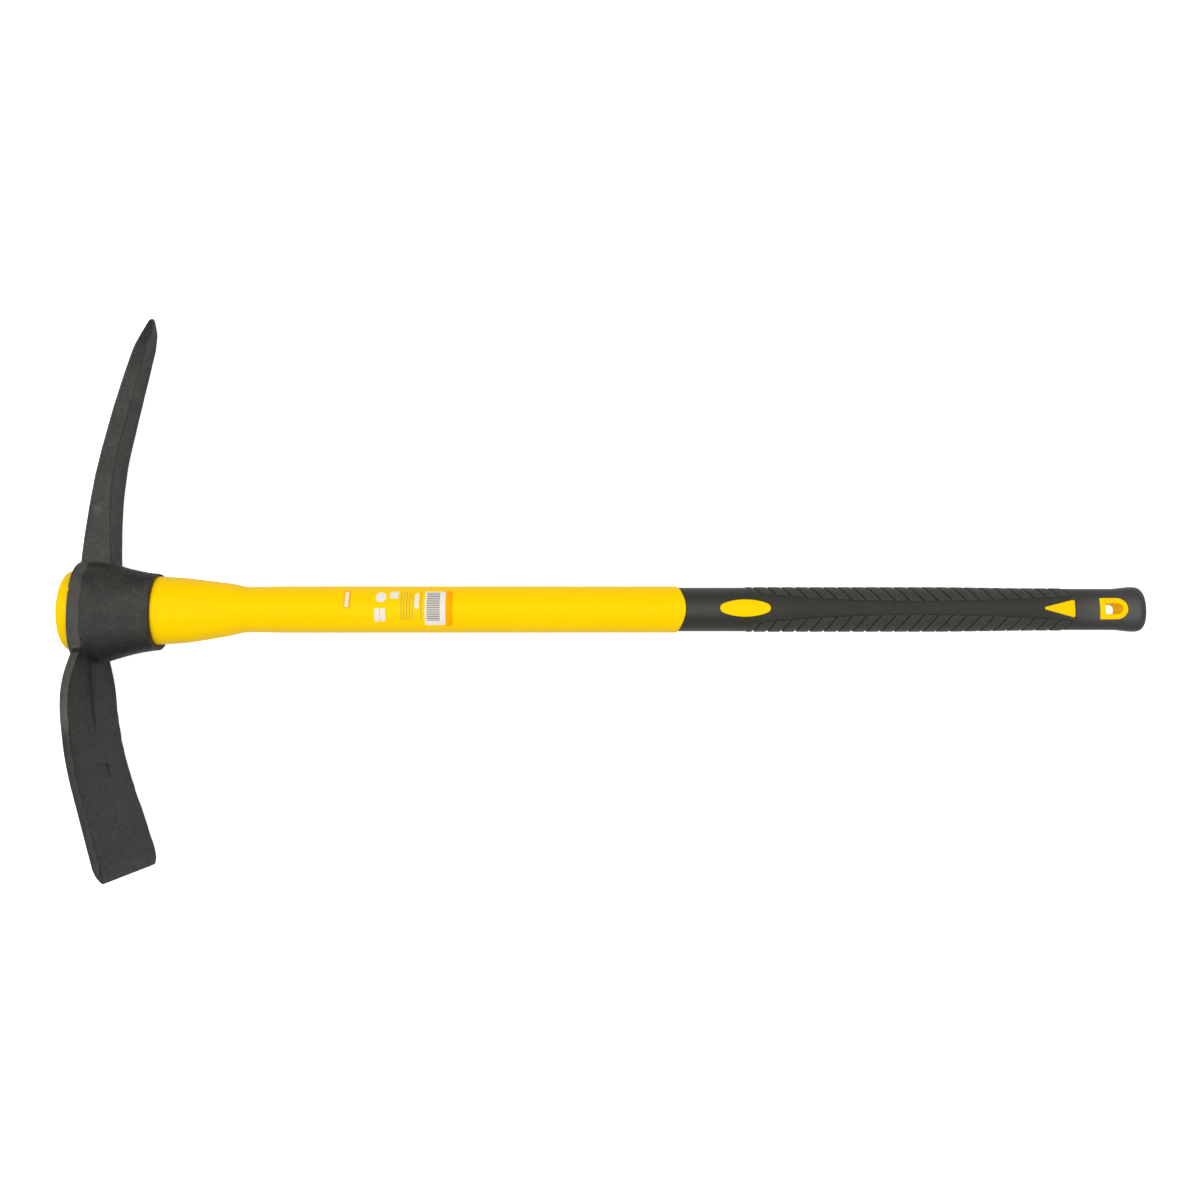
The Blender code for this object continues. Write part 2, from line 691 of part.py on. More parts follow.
def build_jacket(parts, cutters, root):
    """Yellow moulding with its raised insets, the bore for the core and the hang hole."""
    jacket = add_object('handle_jacket', handle_mesh(), parts, root)
    skin = add_cutter('inset_skin', grip_skin('inset_skin', INSET_PROUD), cutters, root)
    outlines = {
        'lens_inset': lens_outline(),
        'arrow_inset': arrow_outline(),
        'ring_inset': ring_outline(),
    }
    for name, outline in outlines.items():
        inset = add_cutter(name, prism(name, outline, GRIP_THICKNESS), cutters, root)
        add_boolean(inset, 'INTERSECT', skin)
        add_boolean(jacket, 'UNION', inset)
    bore_end = RING_FRONT - CORE_TO_RING + FIT
    bm = bmesh.new()
    length = bore_end + OVERCUT
    place = Matrix.Translation((length / 2 - OVERCUT, 0.0, 0.0)) @ Matrix.Rotation(pi / 2, 4, 'Y')
    bmesh.ops.create_cone(
        bm, cap_ends=True, segments=CORE_POINTS, radius1=CORE_DIAMETER / 2 + FIT,
        radius2=CORE_DIAMETER / 2 + FIT, depth=length, matrix=place)
    bore = add_cutter('core_bore', mesh_from('core_bore', bm), cutters, root)
    add_boolean(jacket, 'DIFFERENCE', bore)
    ring_half = grip_half(RING_FRONT + RING_LENGTH / 2)[1]
    hole = add_cutter('hang_hole', loft('hang_hole', hole_rings(ring_half)), cutters, root)
    add_boolean(jacket, 'DIFFERENCE', hole)
    finish(jacket, (0.99, 0.69, 0.0), 0.42, 0.0)
    return jacket


def build_sleeve(parts, cutters, root):
    """Black sleeve with windows for the insets and slanting tread grooves."""
    sleeve = add_object('grip_sleeve', sleeve_mesh(), parts, root)
    slabs = add_cutter('tread_grooves', groove_slabs(), cutters, root)
    floor_body = add_cutter('groove_floor', grip_skin('groove_floor', -GROOVE_DEPTH), cutters, root)
    add_boolean(slabs, 'DIFFERENCE', floor_body)
    add_boolean(sleeve, 'DIFFERENCE', slabs)
    windows = {
        'lens_window': lens_outline(FIT),
        'arrow_window': arrow_outline(FIT),
        'ring_window': ring_outline(FIT),
    }
    for name, outline in windows.items():
        window = add_cutter(name, prism(name, outline, GRIP_THICKNESS), cutters, root)
        add_boolean(sleeve, 'DIFFERENCE', window)
    finish(sleeve, (0.050, 0.050, 0.045), 0.75, 0.0)
    return sleeve


def build_label(parts, root):
    label = add_object('shaft_label', label_mesh(), parts, root)
    solidify = label.modifiers.new('Paper', 'SOLIDIFY')
    solidify.thickness = LABEL_THICKNESS
    solidify.offset = 1.0
    finish(label, (0.96, 0.72, 0.08), 0.35, 0.0)
    return label


def mesh_in_tool_frame(piece):
    evaluated = piece.evaluated_get(bpy.context.evaluated_depsgraph_get())
    bm = bmesh.new()
    bm.from_mesh(evaluated.to_mesh())
    evaluated.to_mesh_clear()
    bmesh.ops.triangulate(bm, faces=bm.faces)
    return bm


def resting_normal(meshes, densities):
    """Upward normal, in the tool's frame, of the plane that the tool settles on.

    It is the face of the tool's convex hull that its centre of mass stands over.
    """
    mass = 0.0
    moment = Vector()
    hull = bmesh.new()
    for bm, density in zip(meshes, densities):
        for face in bm.faces:
            a, b, c = (vertex.co for vertex in face.verts)
            weight = density * a.dot(b.cross(c)) / 6
            mass += weight
            moment += weight * (a + b + c) / 4
        for vertex in bm.verts:
            hull.verts.new(vertex.co)
    centre = moment / mass
    bmesh.ops.convex_hull(hull, input=hull.verts)
    stable = []
    for face in hull.faces:
        normal = face.normal
        corners = [vertex.co for vertex in face.verts]
        foot = centre + normal * (corners[0] - centre).dot(normal)
        if geometry.intersect_point_tri(foot, *corners[:3]):
            stable.append(-normal)
    hull.free()
    return max(stable, key=lambda normal: normal.z)


def lay_on_ground(root, pieces, densities):
    """Turn and move the tool's frame so that the tool rests on z = 0 about the origin."""
    bpy.context.view_layer.update()
    meshes = [mesh_in_tool_frame(piece) for piece in pieces]
    up = resting_normal(meshes, densities)
    along = (Vector((1, 0, 0)) - up * up.x).normalized()
    turn = Matrix((along, up.cross(along), up))
    corners = [turn @ vertex.co for bm in meshes for vertex in bm.verts]
    for bm in meshes:
        bm.free()
    low = Vector(min(corner[axis] for corner in corners) for axis in range(3))
    high = Vector(max(corner[axis] for corner in corners) for axis in range(3))
    middle = (low + high) / 2
    root.matrix_world = Matrix.Translation((-middle.x, -middle.y, -low.z)) @ turn.to_4x4()
    bpy.context.view_layer.update()


def main():
    for old in list(bpy.data.objects):
        bpy.data.objects.remove(old)
    parts = new_collection('pick_mattock')
    cutters = new_collection('cutters')
    root = bpy.data.objects.new('tool_frame', None)
    parts.objects.link(root)
    weighed = {
        build_head(parts, cutters, root): STEEL_DENSITY,
        build_core(parts, root): FIBREGLASS_DENSITY,
        build_jacket(parts, cutters, root): PLASTIC_DENSITY,
        build_sleeve(parts, cutters, root): RUBBER_DENSITY,
        build_label(parts, root): PAPER_DENSITY,
    }
    lay_on_ground(root, list(weighed), list(weighed.values()))


main()
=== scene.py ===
"""Pick mattock with a moulded fibreglass handle: its detailed skin, materials and studio.

Every piece is drawn in the tool's own frame, in metres: x runs along the handle from its
head end to its butt, y towards the point of the pick, and z is the tool's thickness. The
finished meshes are then laid down in the row's frame, and the materials turn their object
coordinates back into the tool's own metres.
"""

import json
from math import asin, cos, pi, radians, sin, sqrt, tan

import bmesh
import bpy
import numpy as np
from bpy.props import FloatProperty, FloatVectorProperty, PointerProperty
from mathutils import Matrix, Vector, kdtree, noise


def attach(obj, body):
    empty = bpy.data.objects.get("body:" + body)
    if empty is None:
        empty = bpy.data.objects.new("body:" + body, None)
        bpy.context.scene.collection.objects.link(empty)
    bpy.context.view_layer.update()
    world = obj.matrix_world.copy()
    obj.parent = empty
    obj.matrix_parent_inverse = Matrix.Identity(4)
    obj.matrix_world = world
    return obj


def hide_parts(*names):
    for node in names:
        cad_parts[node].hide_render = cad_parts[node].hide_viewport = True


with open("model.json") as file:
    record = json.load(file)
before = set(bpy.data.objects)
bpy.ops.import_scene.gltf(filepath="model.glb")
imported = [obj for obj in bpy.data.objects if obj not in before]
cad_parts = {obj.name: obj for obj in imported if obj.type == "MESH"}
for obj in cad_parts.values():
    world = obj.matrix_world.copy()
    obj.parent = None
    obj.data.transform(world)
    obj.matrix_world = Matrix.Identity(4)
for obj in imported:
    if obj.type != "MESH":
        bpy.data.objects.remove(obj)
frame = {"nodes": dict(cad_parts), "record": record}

bl_info = {
    "name": "Pick Mattock",
    "version": (1, 0, 0),
    "blender": (4, 5, 0),
    "location": "View3D > Sidebar > Mattock",
    "description": "Builds a forged pick mattock head, its moulded handle, grip and label",
    "category": "Add Mesh",
}

MM = 0.001

# Handle, from its head end
HANDLE_LENGTH = 0.8890
SWELL_WIDTH = 0.065
SWELL_THICKNESS = 0.048
SWELL_NECK_WIDTH = 0.053
SWELL_NECK_THICKNESS = 0.0355
SWELL_NECK = 0.100
SWELL_TAIL_WIDTH = 0.0432
SWELL_TAIL_THICKNESS = 0.0326
SWELL_TAIL = 0.134
SHAFT_START = 0.1465
SHAFT_START_WIDTH = 0.0374
SHAFT_FULL = 0.185
SHAFT_WIDTH = 0.0382
SHAFT_THICKNESS = 0.031
DOME_DEPTH = 0.0050
DOME_FLAT = 0.46
SWELL_SHIFT = 0.0008
CORE_DIAMETER = 0.020
CORE_TO_RING = 0.0700
FIT = 0.0003

# Grip, from the butt
GRIP_LENGTH = 0.3878
GRIP_WIDTH = 0.0362
GRIP_THICKNESS = 0.0295
GRIP_WALL = 0.0028
GRIP_FRONT_BULGE = 0.0062
GRIP_NECK_FAR = 0.1772
GRIP_NECK_NEAR = 0.0872
GRIP_NECK_SLIM = 0.0019
GRIP_THIN_FAR = 0.1122
GRIP_THIN_NEAR = 0.0442
GRIP_THINNING = 0.0125
GRIP_FLARE_LENGTH = 0.0268
GRIP_FLARE_FULL = 0.0100
GRIP_FLARE = 0.0030
BUTT_WALL = 0.0114
BUTT_ROUND = 0.0075
BUTT_ROUND_FLAT = 0.0035

# Tread on the grip's two sides
TREAD_FROM_FRONT = 0.0624
TREAD_PITCH = 0.01166
TREAD_ANGLE = radians(51.0)
TREAD_ROWS = 23
GROOVE_HALF = 0.00095
BAND_WAIST = 0.0104
BAND_WAIST_FROM_FRONT = 0.1905
BAND_SPREAD_FRONT = 0.44
BAND_SPREAD_BUTT = 0.26
GROOVE_EDGE = 0.10
PAD_CROWN = 0.12 * MM
SEAM_HEIGHT = 0.10 * MM
NUB_HEIGHT = 1.1 * MM

# Insets in the grip
LENS_FROM_FRONT = 0.0545
LENS_LENGTH = 0.0414
LENS_WIDTH = 0.0143
LENS_END = 0.6
ARROW_FROM_BUTT = 0.0607
ARROW_LENGTH = 0.0266
ARROW_WIDTH = 0.0144
ARROW_ROUND = 0.0012
RING_FROM_BUTT = 0.0166
RING_LENGTH = 0.0230
RING_WIDTH = 0.0178
RING_CORNER = 0.0013
HOLE_FROM_RING_EDGE = 0.0050
HOLE_LENGTH = 0.0138
HOLE_WIDTH = 0.0082
HOLE_FLARE = 0.0003
HOLE_CORNER = 0.0010
WINDOW_GAP = 0.22 * MM

# Label
LABEL_START = 0.2265
LABEL_LENGTH = 0.0915
LABEL_WIDTH = 0.0284
LABEL_CORNER = 2.2 * MM
LABEL_GAP = 0.03 * MM

# Print on the label, in millimetres: x from its start, y, half length, half width, corner
PALE_PATCHES = (
    (5.8, 7.0, 1.4, 6.3, 0.4), (33.3, 8.8, 4.2, 4.2, 4.1), (30.2, -5.6, 1.9, 5.3, 0.9),
    (35.0, -5.6, 1.9, 5.3, 0.9), (44.0, 10.6, 3.4, 3.0, 0.7), (62.4, 5.7, 1.6, 6.5, 1.5),
    (77.3, 0.0, 8.3, 13.6, 0.8),
)
# Blocks of fine lines: x from the label's start and half length
LINE_BLOCKS = ((53.6, 5.6), (65.9, 1.6))

# Head, with x from the eye's front face and y from the middle of the handle
HEAD_START = 0.0138
EYE_LENGTH = 0.0622
EYE_WIDTH = 0.082
EYE_THICKNESS = 0.056
EYE_RIM_WIDTH = 0.063
EYE_RIM_THICKNESS = 0.044
EYE_SHIFT = 0.0013
EYE_ROUNDNESS = 2.5
EYE_POINTS = 148
EYE_SHOULDER = 0.0197
EYE_HOLLOW = 1.5
LAND_WIDTH = 0.0095
LAND_HEIGHT = 0.0005
PICK_REACH = 0.246
PICK_START = 0.033
PICK_ROOT = 0.0376
PICK_FRONT = -0.0004
PICK_FRONT_SLOPE = 0.085
PICK_FRONT_RADIUS = 0.875
PICK_BACK = 0.0236
PICK_WAIST = 0.085
PICK_ROOT_RADIUS = 0.560
PICK_BEND_RADIUS = 0.260
PICK_BEND_ANGLE = radians(11.8)
PICK_THICKNESS = 0.0262
PICK_THICKEST = 0.108
PICK_ROOT_THINNING = 0.0044
PICK_POINT_THINNING = 0.0068
POINT_LENGTH = 0.0245
POINT_WIDTH = 0.0034
POINT_THICKNESS = 0.0040
POINT_BACK = 0.0478
POINT_NOSE = 0.012
POINT_NOSE_BACK = 0.0490
PICK_FRONT_CHAMFER = 0.0034
PICK_BACK_CHAMFER = 0.0008
ADZE_REACH = 0.2124
ADZE_START = 0.023
ADZE_ROOT = 0.034
ADZE_BACK = 0.0101
ADZE_BEND_START = 0.046
ADZE_BEND_RADIUS = 0.304
ADZE_BEND_ANGLE = radians(19.0)
ADZE_ROOT_THICKNESS = 0.0066
ADZE_EDGE_THICKNESS = 0.0057
ADZE_ROOT_WIDTH = 0.0465
ADZE_SHOULDER = 0.082
ADZE_SHOULDER_WIDTH = 0.0832
ADZE_EDGE_WIDTH = 0.101
ADZE_CORNER_LENGTH = 0.0068
ADZE_CORNER_WIDTH = 0.0044
ADZE_CHAMFER = 0.0008
BEVEL_LENGTH = 0.011
BEVEL_EDGE = 0.0010
RIB_END = 0.103
RIB_WIDTH = 0.0090
RIB_HEIGHT = 0.0042
RIB_TIP = 0.0006
TRIM_START = 0.036

# Blank recess in the blade's inner face
STAMP_REACH = 0.131
STAMP_HALF_LENGTH = 5.6 * MM
STAMP_HALF_WIDTH = 10.5 * MM
STAMP_DEPTH = 0.75 * MM

# Press marks, in millimetres: x from the eye's front, y, z, radius and depth
PRESS_MARKS = (
    (9.5, 36.5, 12.0, 1.5, 0.95), (3.0, 30.0, 20.0, 1.3, 0.85), (0.8, 14.0, 27.0, 1.6, 0.70),
    (9.0, -12.0, 26.0, 1.2, 0.35), (22.0, 8.0, 25.0, 2.2, 0.25),
)

# Middle of the rubbed place on the pick's flat side
RUBBED_SPOT = (0.0275, 0.081, 0.0125)

# Lengths of the forging's two unevennesses
LONG_WAVE = 14 * MM
SHORT_WAVE = 4.5 * MM

# Camera, in millimetres: a wide lens straight above the tool, which is turned a little
CAMERA_HEIGHT = 826.0
CAMERA_ALONG = 437.5
CAMERA_ASIDE = -7.8
CAMERA_ROLL = radians(5.4)
CAMERA_PITCH = radians(0.75)
LENS = 30.0
SENSOR_WIDTH = 36.0

GRIP_FRONT = HANDLE_LENGTH - GRIP_LENGTH
JACKET_END = HANDLE_LENGTH - BUTT_WALL
RING_FRONT = HANDLE_LENGTH - RING_FROM_BUTT - RING_LENGTH
ARROW_BASE = HANDLE_LENGTH - ARROW_FROM_BUTT
TREAD_START = GRIP_FRONT + TREAD_FROM_FRONT
TREAD_END = TREAD_START + (TREAD_ROWS - 1) * TREAD_PITCH
QUARTER = np.linspace(0.0, pi / 2, 5)
SHARP_ANGLE = radians(35.0)
MOST_MATERIALS = 3

# Colours of small things on the forging, of its painted edge highlight, and of the glow in the hang
# hole
BROWN_FILM = (0.050, 0.036, 0.022)
BROWN_RIM = (0.026, 0.015, 0.004)
RUBBED_STEEL = (0.100, 0.088, 0.065)
EDGE_HIGHLIGHT_STEEL = (0.11, 0.11, 0.10)
DEEP_GLOW = (0.46, 0.33, 0.0)
PALE_GLOW = (0.52, 0.36, 0.0)


# ---------------------------------------------------------------- the tool's forms

def smooth(value, start, end):
    """0 before start, 1 after end, and an S-shaped rise between them."""
    share = np.clip((value - start) / (end - start), 0.0, 1.0)
    return share * share * (3.0 - 2.0 * share)


def blend(first, second, share):
    """The way from the first to the second by a share."""
    return first + (second - first) * share


def steps(start, end, spacing):
    """Even stations from start to end, no further apart than spacing."""
    return np.linspace(start, end, max(1, int(np.ceil(abs(end - start) / spacing))) + 1)


def signed_power(value, power):
    """A power of the value's size that keeps its sign."""
    return np.sign(value) * np.abs(value) ** power


def full_turn(count):
    """Even turns right round, from 0, in radians."""
    return np.linspace(0.0, 2 * pi, count + 1)[:-1]


def arc_sag(along, radius):
    """How far an arc falls off its tangent."""
    return radius - np.sqrt(radius ** 2 - along ** 2)


def bent_sag(along, radius, angle):
    """Sag of an arc that runs on as a straight line once it has turned by angle."""
    bend_end = radius * sin(angle)
    curved = arc_sag(np.minimum(along, bend_end), radius)
    return curved + np.maximum(along - bend_end, 0) * tan(angle)


def handle_half(x):
    """Half width and half thickness of the yellow handle at x."""
    places = [DOME_DEPTH, SWELL_NECK, SWELL_TAIL, SHAFT_START]
    widths = [SWELL_WIDTH, SWELL_NECK_WIDTH, SWELL_TAIL_WIDTH, SHAFT_START_WIDTH]
    thicknesses = [SWELL_THICKNESS, SWELL_NECK_THICKNESS, SWELL_TAIL_THICKNESS, SHAFT_THICKNESS]
    full = smooth(x, SHAFT_START, SHAFT_FULL)
    return (blend(np.interp(x, places, widths), SHAFT_WIDTH, full) / 2,
            np.interp(x, places, thicknesses) / 2)


def handle_shift(x):
    """How far the handle's middle lies towards the adze at x."""
    return SWELL_SHIFT * (1.0 - smooth(x, SWELL_NECK, SHAFT_START))


def grip_half(x):
    """Half width and half thickness of the grip at x.

    It slims to a neck, thins towards the hang hole and flares at the butt.
    """
    to_butt = HANDLE_LENGTH - x
    neck = smooth(-to_butt, -GRIP_NECK_FAR, -GRIP_NECK_NEAR) * GRIP_NECK_SLIM
    thinning = smooth(-to_butt, -GRIP_THIN_FAR, -GRIP_THIN_NEAR) * GRIP_THINNING
    flare = (1.0 - smooth(to_butt, GRIP_FLARE_FULL, GRIP_FLARE_LENGTH)) * GRIP_FLARE
    return (GRIP_WIDTH - neck + flare) / 2, (GRIP_THICKNESS - neck / 2 - thinning + flare / 2) / 2


def grip_stations():
    """Places along the grip where its neck and its thinning change its section."""
    neck_start = HANDLE_LENGTH - GRIP_NECK_FAR
    thin_start = HANDLE_LENGTH - GRIP_THIN_FAR
    thin_end = HANDLE_LENGTH - GRIP_THIN_NEAR
    return np.append(steps(neck_start, thin_start, 12 * MM),
                     steps(thin_start, thin_end, 6 * MM)[1:])


def under_grip_half(x):
    """Half width and half thickness of the handle where the grip covers it."""
    width, thickness = grip_half(np.minimum(x, HANDLE_LENGTH - GRIP_FLARE_LENGTH))
    return width - GRIP_WALL - FIT, thickness - GRIP_WALL - FIT


def grip_height(x, y):
    """Height z of the grip's skin over a point of the tool's middle plane."""
    width, thickness = grip_half(x)
    return thickness * np.sqrt(np.maximum(1.0 - (y / width) ** 2, 0.0))


def band_half(x):
    """Half width of the smooth band between the two rows of tread at x."""
    offset = x - GRIP_FRONT - BAND_WAIST_FROM_FRONT
    spread = np.where(offset < 0, BAND_SPREAD_FRONT, BAND_SPREAD_BUTT)
    return BAND_WAIST / 2 + spread * offset ** 2


def blade_back(reach):
    """Where the blade's inner face lies, from the eye's front, at a reach."""
    return ADZE_BACK + bent_sag(reach - ADZE_BEND_START, ADZE_BEND_RADIUS, ADZE_BEND_ANGLE)


# ---------------------------------------------------------------- mesh tools

def mesh_from(name, points, faces, normals=True):
    """A mesh of these points and faces, with its faces turned outwards."""
    mesh = bpy.data.meshes.new(name)
    mesh.from_pydata(np.asarray(points, dtype=float).tolist(), [], faces)
    if normals:
        bm = bmesh.new()
        bm.from_mesh(mesh)
        bmesh.ops.recalc_face_normals(bm, faces=bm.faces)
        bm.to_mesh(mesh)
        bm.free()
    return mesh


def tube(rings, loop=False, start=0):
    """Points and faces of a closed body through rings of equal counts.

    Its ends are closed by fans, or it runs round to its first ring again.
    """
    rings = np.asarray(rings, dtype=float)
    count, around = rings.shape[:2]
    ids = start + np.arange(count * around).reshape(count, around)
    low, high = (ids, np.roll(ids, -1, 0)) if loop else (ids[:-1], ids[1:])
    quads = np.stack([low, np.roll(low, -1, 1), np.roll(high, -1, 1), high], -1)
    faces = quads.reshape(-1, 4).tolist()
    points = rings.reshape(-1, 3)
    if not loop:
        for ring, centre in ((0, start + count * around), (-1, start + count * around + 1)):
            edge = ids[ring]
            faces += [[int(a), int(b), centre] for a, b in zip(edge, np.roll(edge, -1))]
        points = np.vstack([points, rings[0].mean(0), rings[-1].mean(0)])
    return points, faces


def tubes(name, bodies):
    """One mesh of several closed bodies, each given as (rings, loop)."""
    points, faces = [], []
    for rings, loop in bodies:
        more_points, more_faces = tube(rings, loop, sum(len(p) for p in points))
        points.append(more_points)
        faces += more_faces
    return mesh_from(name, np.vstack(points), faces)


def closed_body(name, rings):
    """A mesh of one body through rings, closed at both ends."""
    return tubes(name, [(rings, False)])


def new_object(name, data):
    """A new object of this data, in the scene."""
    item = bpy.data.objects.new(name, data)
    bpy.context.scene.collection.objects.link(item)
    return item


def mark_faces(mesh, numbers):
    """Give faces, rows by columns from the first, the materials of these numbers."""
    index = np.zeros(len(mesh.polygons), dtype=int)
    index[:numbers.size] = numbers.astype(int).ravel()
    for _ in range(MOST_MATERIALS):
        mesh.materials.append(None)
    mesh.polygons.foreach_set('material_index', index)
    return mesh


def combine(mesh, operation, *others):
    """The mesh after one exact Boolean with each of the others, which are used up."""
    piece = new_object('work', mesh)
    tools = [new_object('tool', other) for other in others]
    for tool in tools:
        modifier = piece.modifiers.new(operation.title(), 'BOOLEAN')
        modifier.operation = operation
        modifier.solver = 'EXACT'
        modifier.object = tool
    bpy.context.view_layer.update()
    result = bpy.data.meshes.new_from_object(
        piece.evaluated_get(bpy.context.evaluated_depsgraph_get()))
    result.name = mesh.name
    for item in [piece] + tools:
        used = item.data
        bpy.data.objects.remove(item)
        bpy.data.meshes.remove(used)
    if not result.polygons:
        raise RuntimeError(operation + ' left nothing of ' + result.name)
    return result


def vectors_of(items, key):
    """One vector of each of a mesh's items, as rows."""
    values = np.empty(len(items) * 3)
    items.foreach_get(key, values)
    return values.reshape(-1, 3)


def points_of(mesh):
    return vectors_of(mesh.vertices, 'co')


def set_points(mesh, points):
    mesh.vertices.foreach_set('co', np.ascontiguousarray(points).ravel())
    mesh.update()


def relax(mesh, weight, rounds):
    """Move each point towards the middle of its neighbours, by its weight a round."""
    edges = np.empty(len(mesh.edges) * 2, dtype=int)
    mesh.edges.foreach_get('vertices', edges)
    one, two = edges.reshape(-1, 2).T
    points = points_of(mesh)
    degree = np.bincount(one, minlength=len(points)) + np.bincount(two, minlength=len(points))
    for _ in range(rounds):
        total = np.zeros_like(points)
        np.add.at(total, one, points[two])
        np.add.at(total, two, points[one])
        points += (total / np.maximum(degree, 1)[:, None] - points) * weight[:, None]
    set_points(mesh, points)


def tree_of(points):
    """A tree that finds the nearest of the points."""
    tree = kdtree.KDTree(len(points))
    for index, point in enumerate(points):
        tree.insert(point, index)
    tree.balance()
    return tree


def near(points, targets, full, none):
    """1 within the distance full of the targets, falling to 0 at the distance none."""
    tree = tree_of(targets)
    distance = np.array([tree.find(point)[2] for point in points])
    return 1.0 - smooth(distance, full, none)


def soften_seams(mesh, originals, reach, rounds):
    """Turn the creases where bodies were joined into small fillets.

    The creases run through the points that none of the bodies had before. The very short
    edges there are closed up first, so that the mesh stays whole for the next Boolean.
    """
    tree = tree_of(originals)

    def on_seam(vertex):
        return tree.find(vertex.co)[2] > 0.01 * MM

    bm = bmesh.new()
    bm.from_mesh(mesh)
    bmesh.ops.triangulate(bm, faces=[face for face in bm.faces if len(face.verts) > 4])
    seam = {vertex for vertex in bm.verts if on_seam(vertex)}
    bmesh.ops.dissolve_degenerate(
        bm, dist=0.25 * MM, edges=[edge for edge in bm.edges if seam.intersection(edge.verts)])
    seam_points = [vertex.co.copy() for vertex in bm.verts if on_seam(vertex)]
    bm.to_mesh(mesh)
    bm.free()
    weight = near(points_of(mesh), seam_points, reach * 0.4, reach)
    relax(mesh, weight * 0.5, rounds)


def roughen(mesh, coarse, fine, seed):
    """Lift and lower the surface by two sizes of even unevenness, in metres."""
    points = points_of(mesh)
    start = Vector((seed, seed * 0.37, seed * 0.71))
    lift = np.array([
        coarse * noise.noise(Vector(p) / LONG_WAVE + start)
        + fine * noise.noise(Vector(p) / SHORT_WAVE - start)
        for p in points
    ])
    set_points(mesh, points + vectors_of(mesh.vertex_normals, 'vector') * lift[:, None])


def press(mesh, marks):
    """Small hollows: each mark is its place, its radius and its depth."""
    points = points_of(mesh)
    normals = vectors_of(mesh.vertex_normals, 'vector')
    for place, radius, depth in marks:
        distance = np.linalg.norm(points - np.array(place), axis=1)
        points = points - normals * (depth * np.exp(-(distance / radius) ** 2))[:, None]
    set_points(mesh, points)


def tool_matrix():
    """The tool's frame in the row's frame, from the joint's axis and the two mounts."""
    record = frame["record"]
    mounts = {mount["name"]: Vector(mount["pos_m"]) for mount in record["mounts"]}
    along = Vector(record["behaviour"]["joints"][0]["axis"]).normalized()
    across = mounts["butt_face"] - mounts["eye_front_face"]
    across = (across - along * across.dot(along)).normalized()
    up = along.cross(across)
    matrix = Matrix((along, across, up)).transposed().to_4x4()
    matrix.translation = mounts["butt_face"] - along * HANDLE_LENGTH
    return matrix


def add_piece(name, mesh, body, materials, replaced):
    """Put a mesh into the scene in the tool's frame, riding on its body."""
    mesh.name = name
    piece = new_object(name, mesh)
    for index, material in enumerate(materials):
        if index < len(mesh.materials):
            mesh.materials[index] = material
        else:
            mesh.materials.append(material)
    mesh.transform(tool_matrix())
    mesh.shade_smooth()
    mesh.set_sharp_from_angle(angle=SHARP_ANGLE)
    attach(piece, body)
    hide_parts(*replaced)


# ---------------------------------------------------------------- shading tools

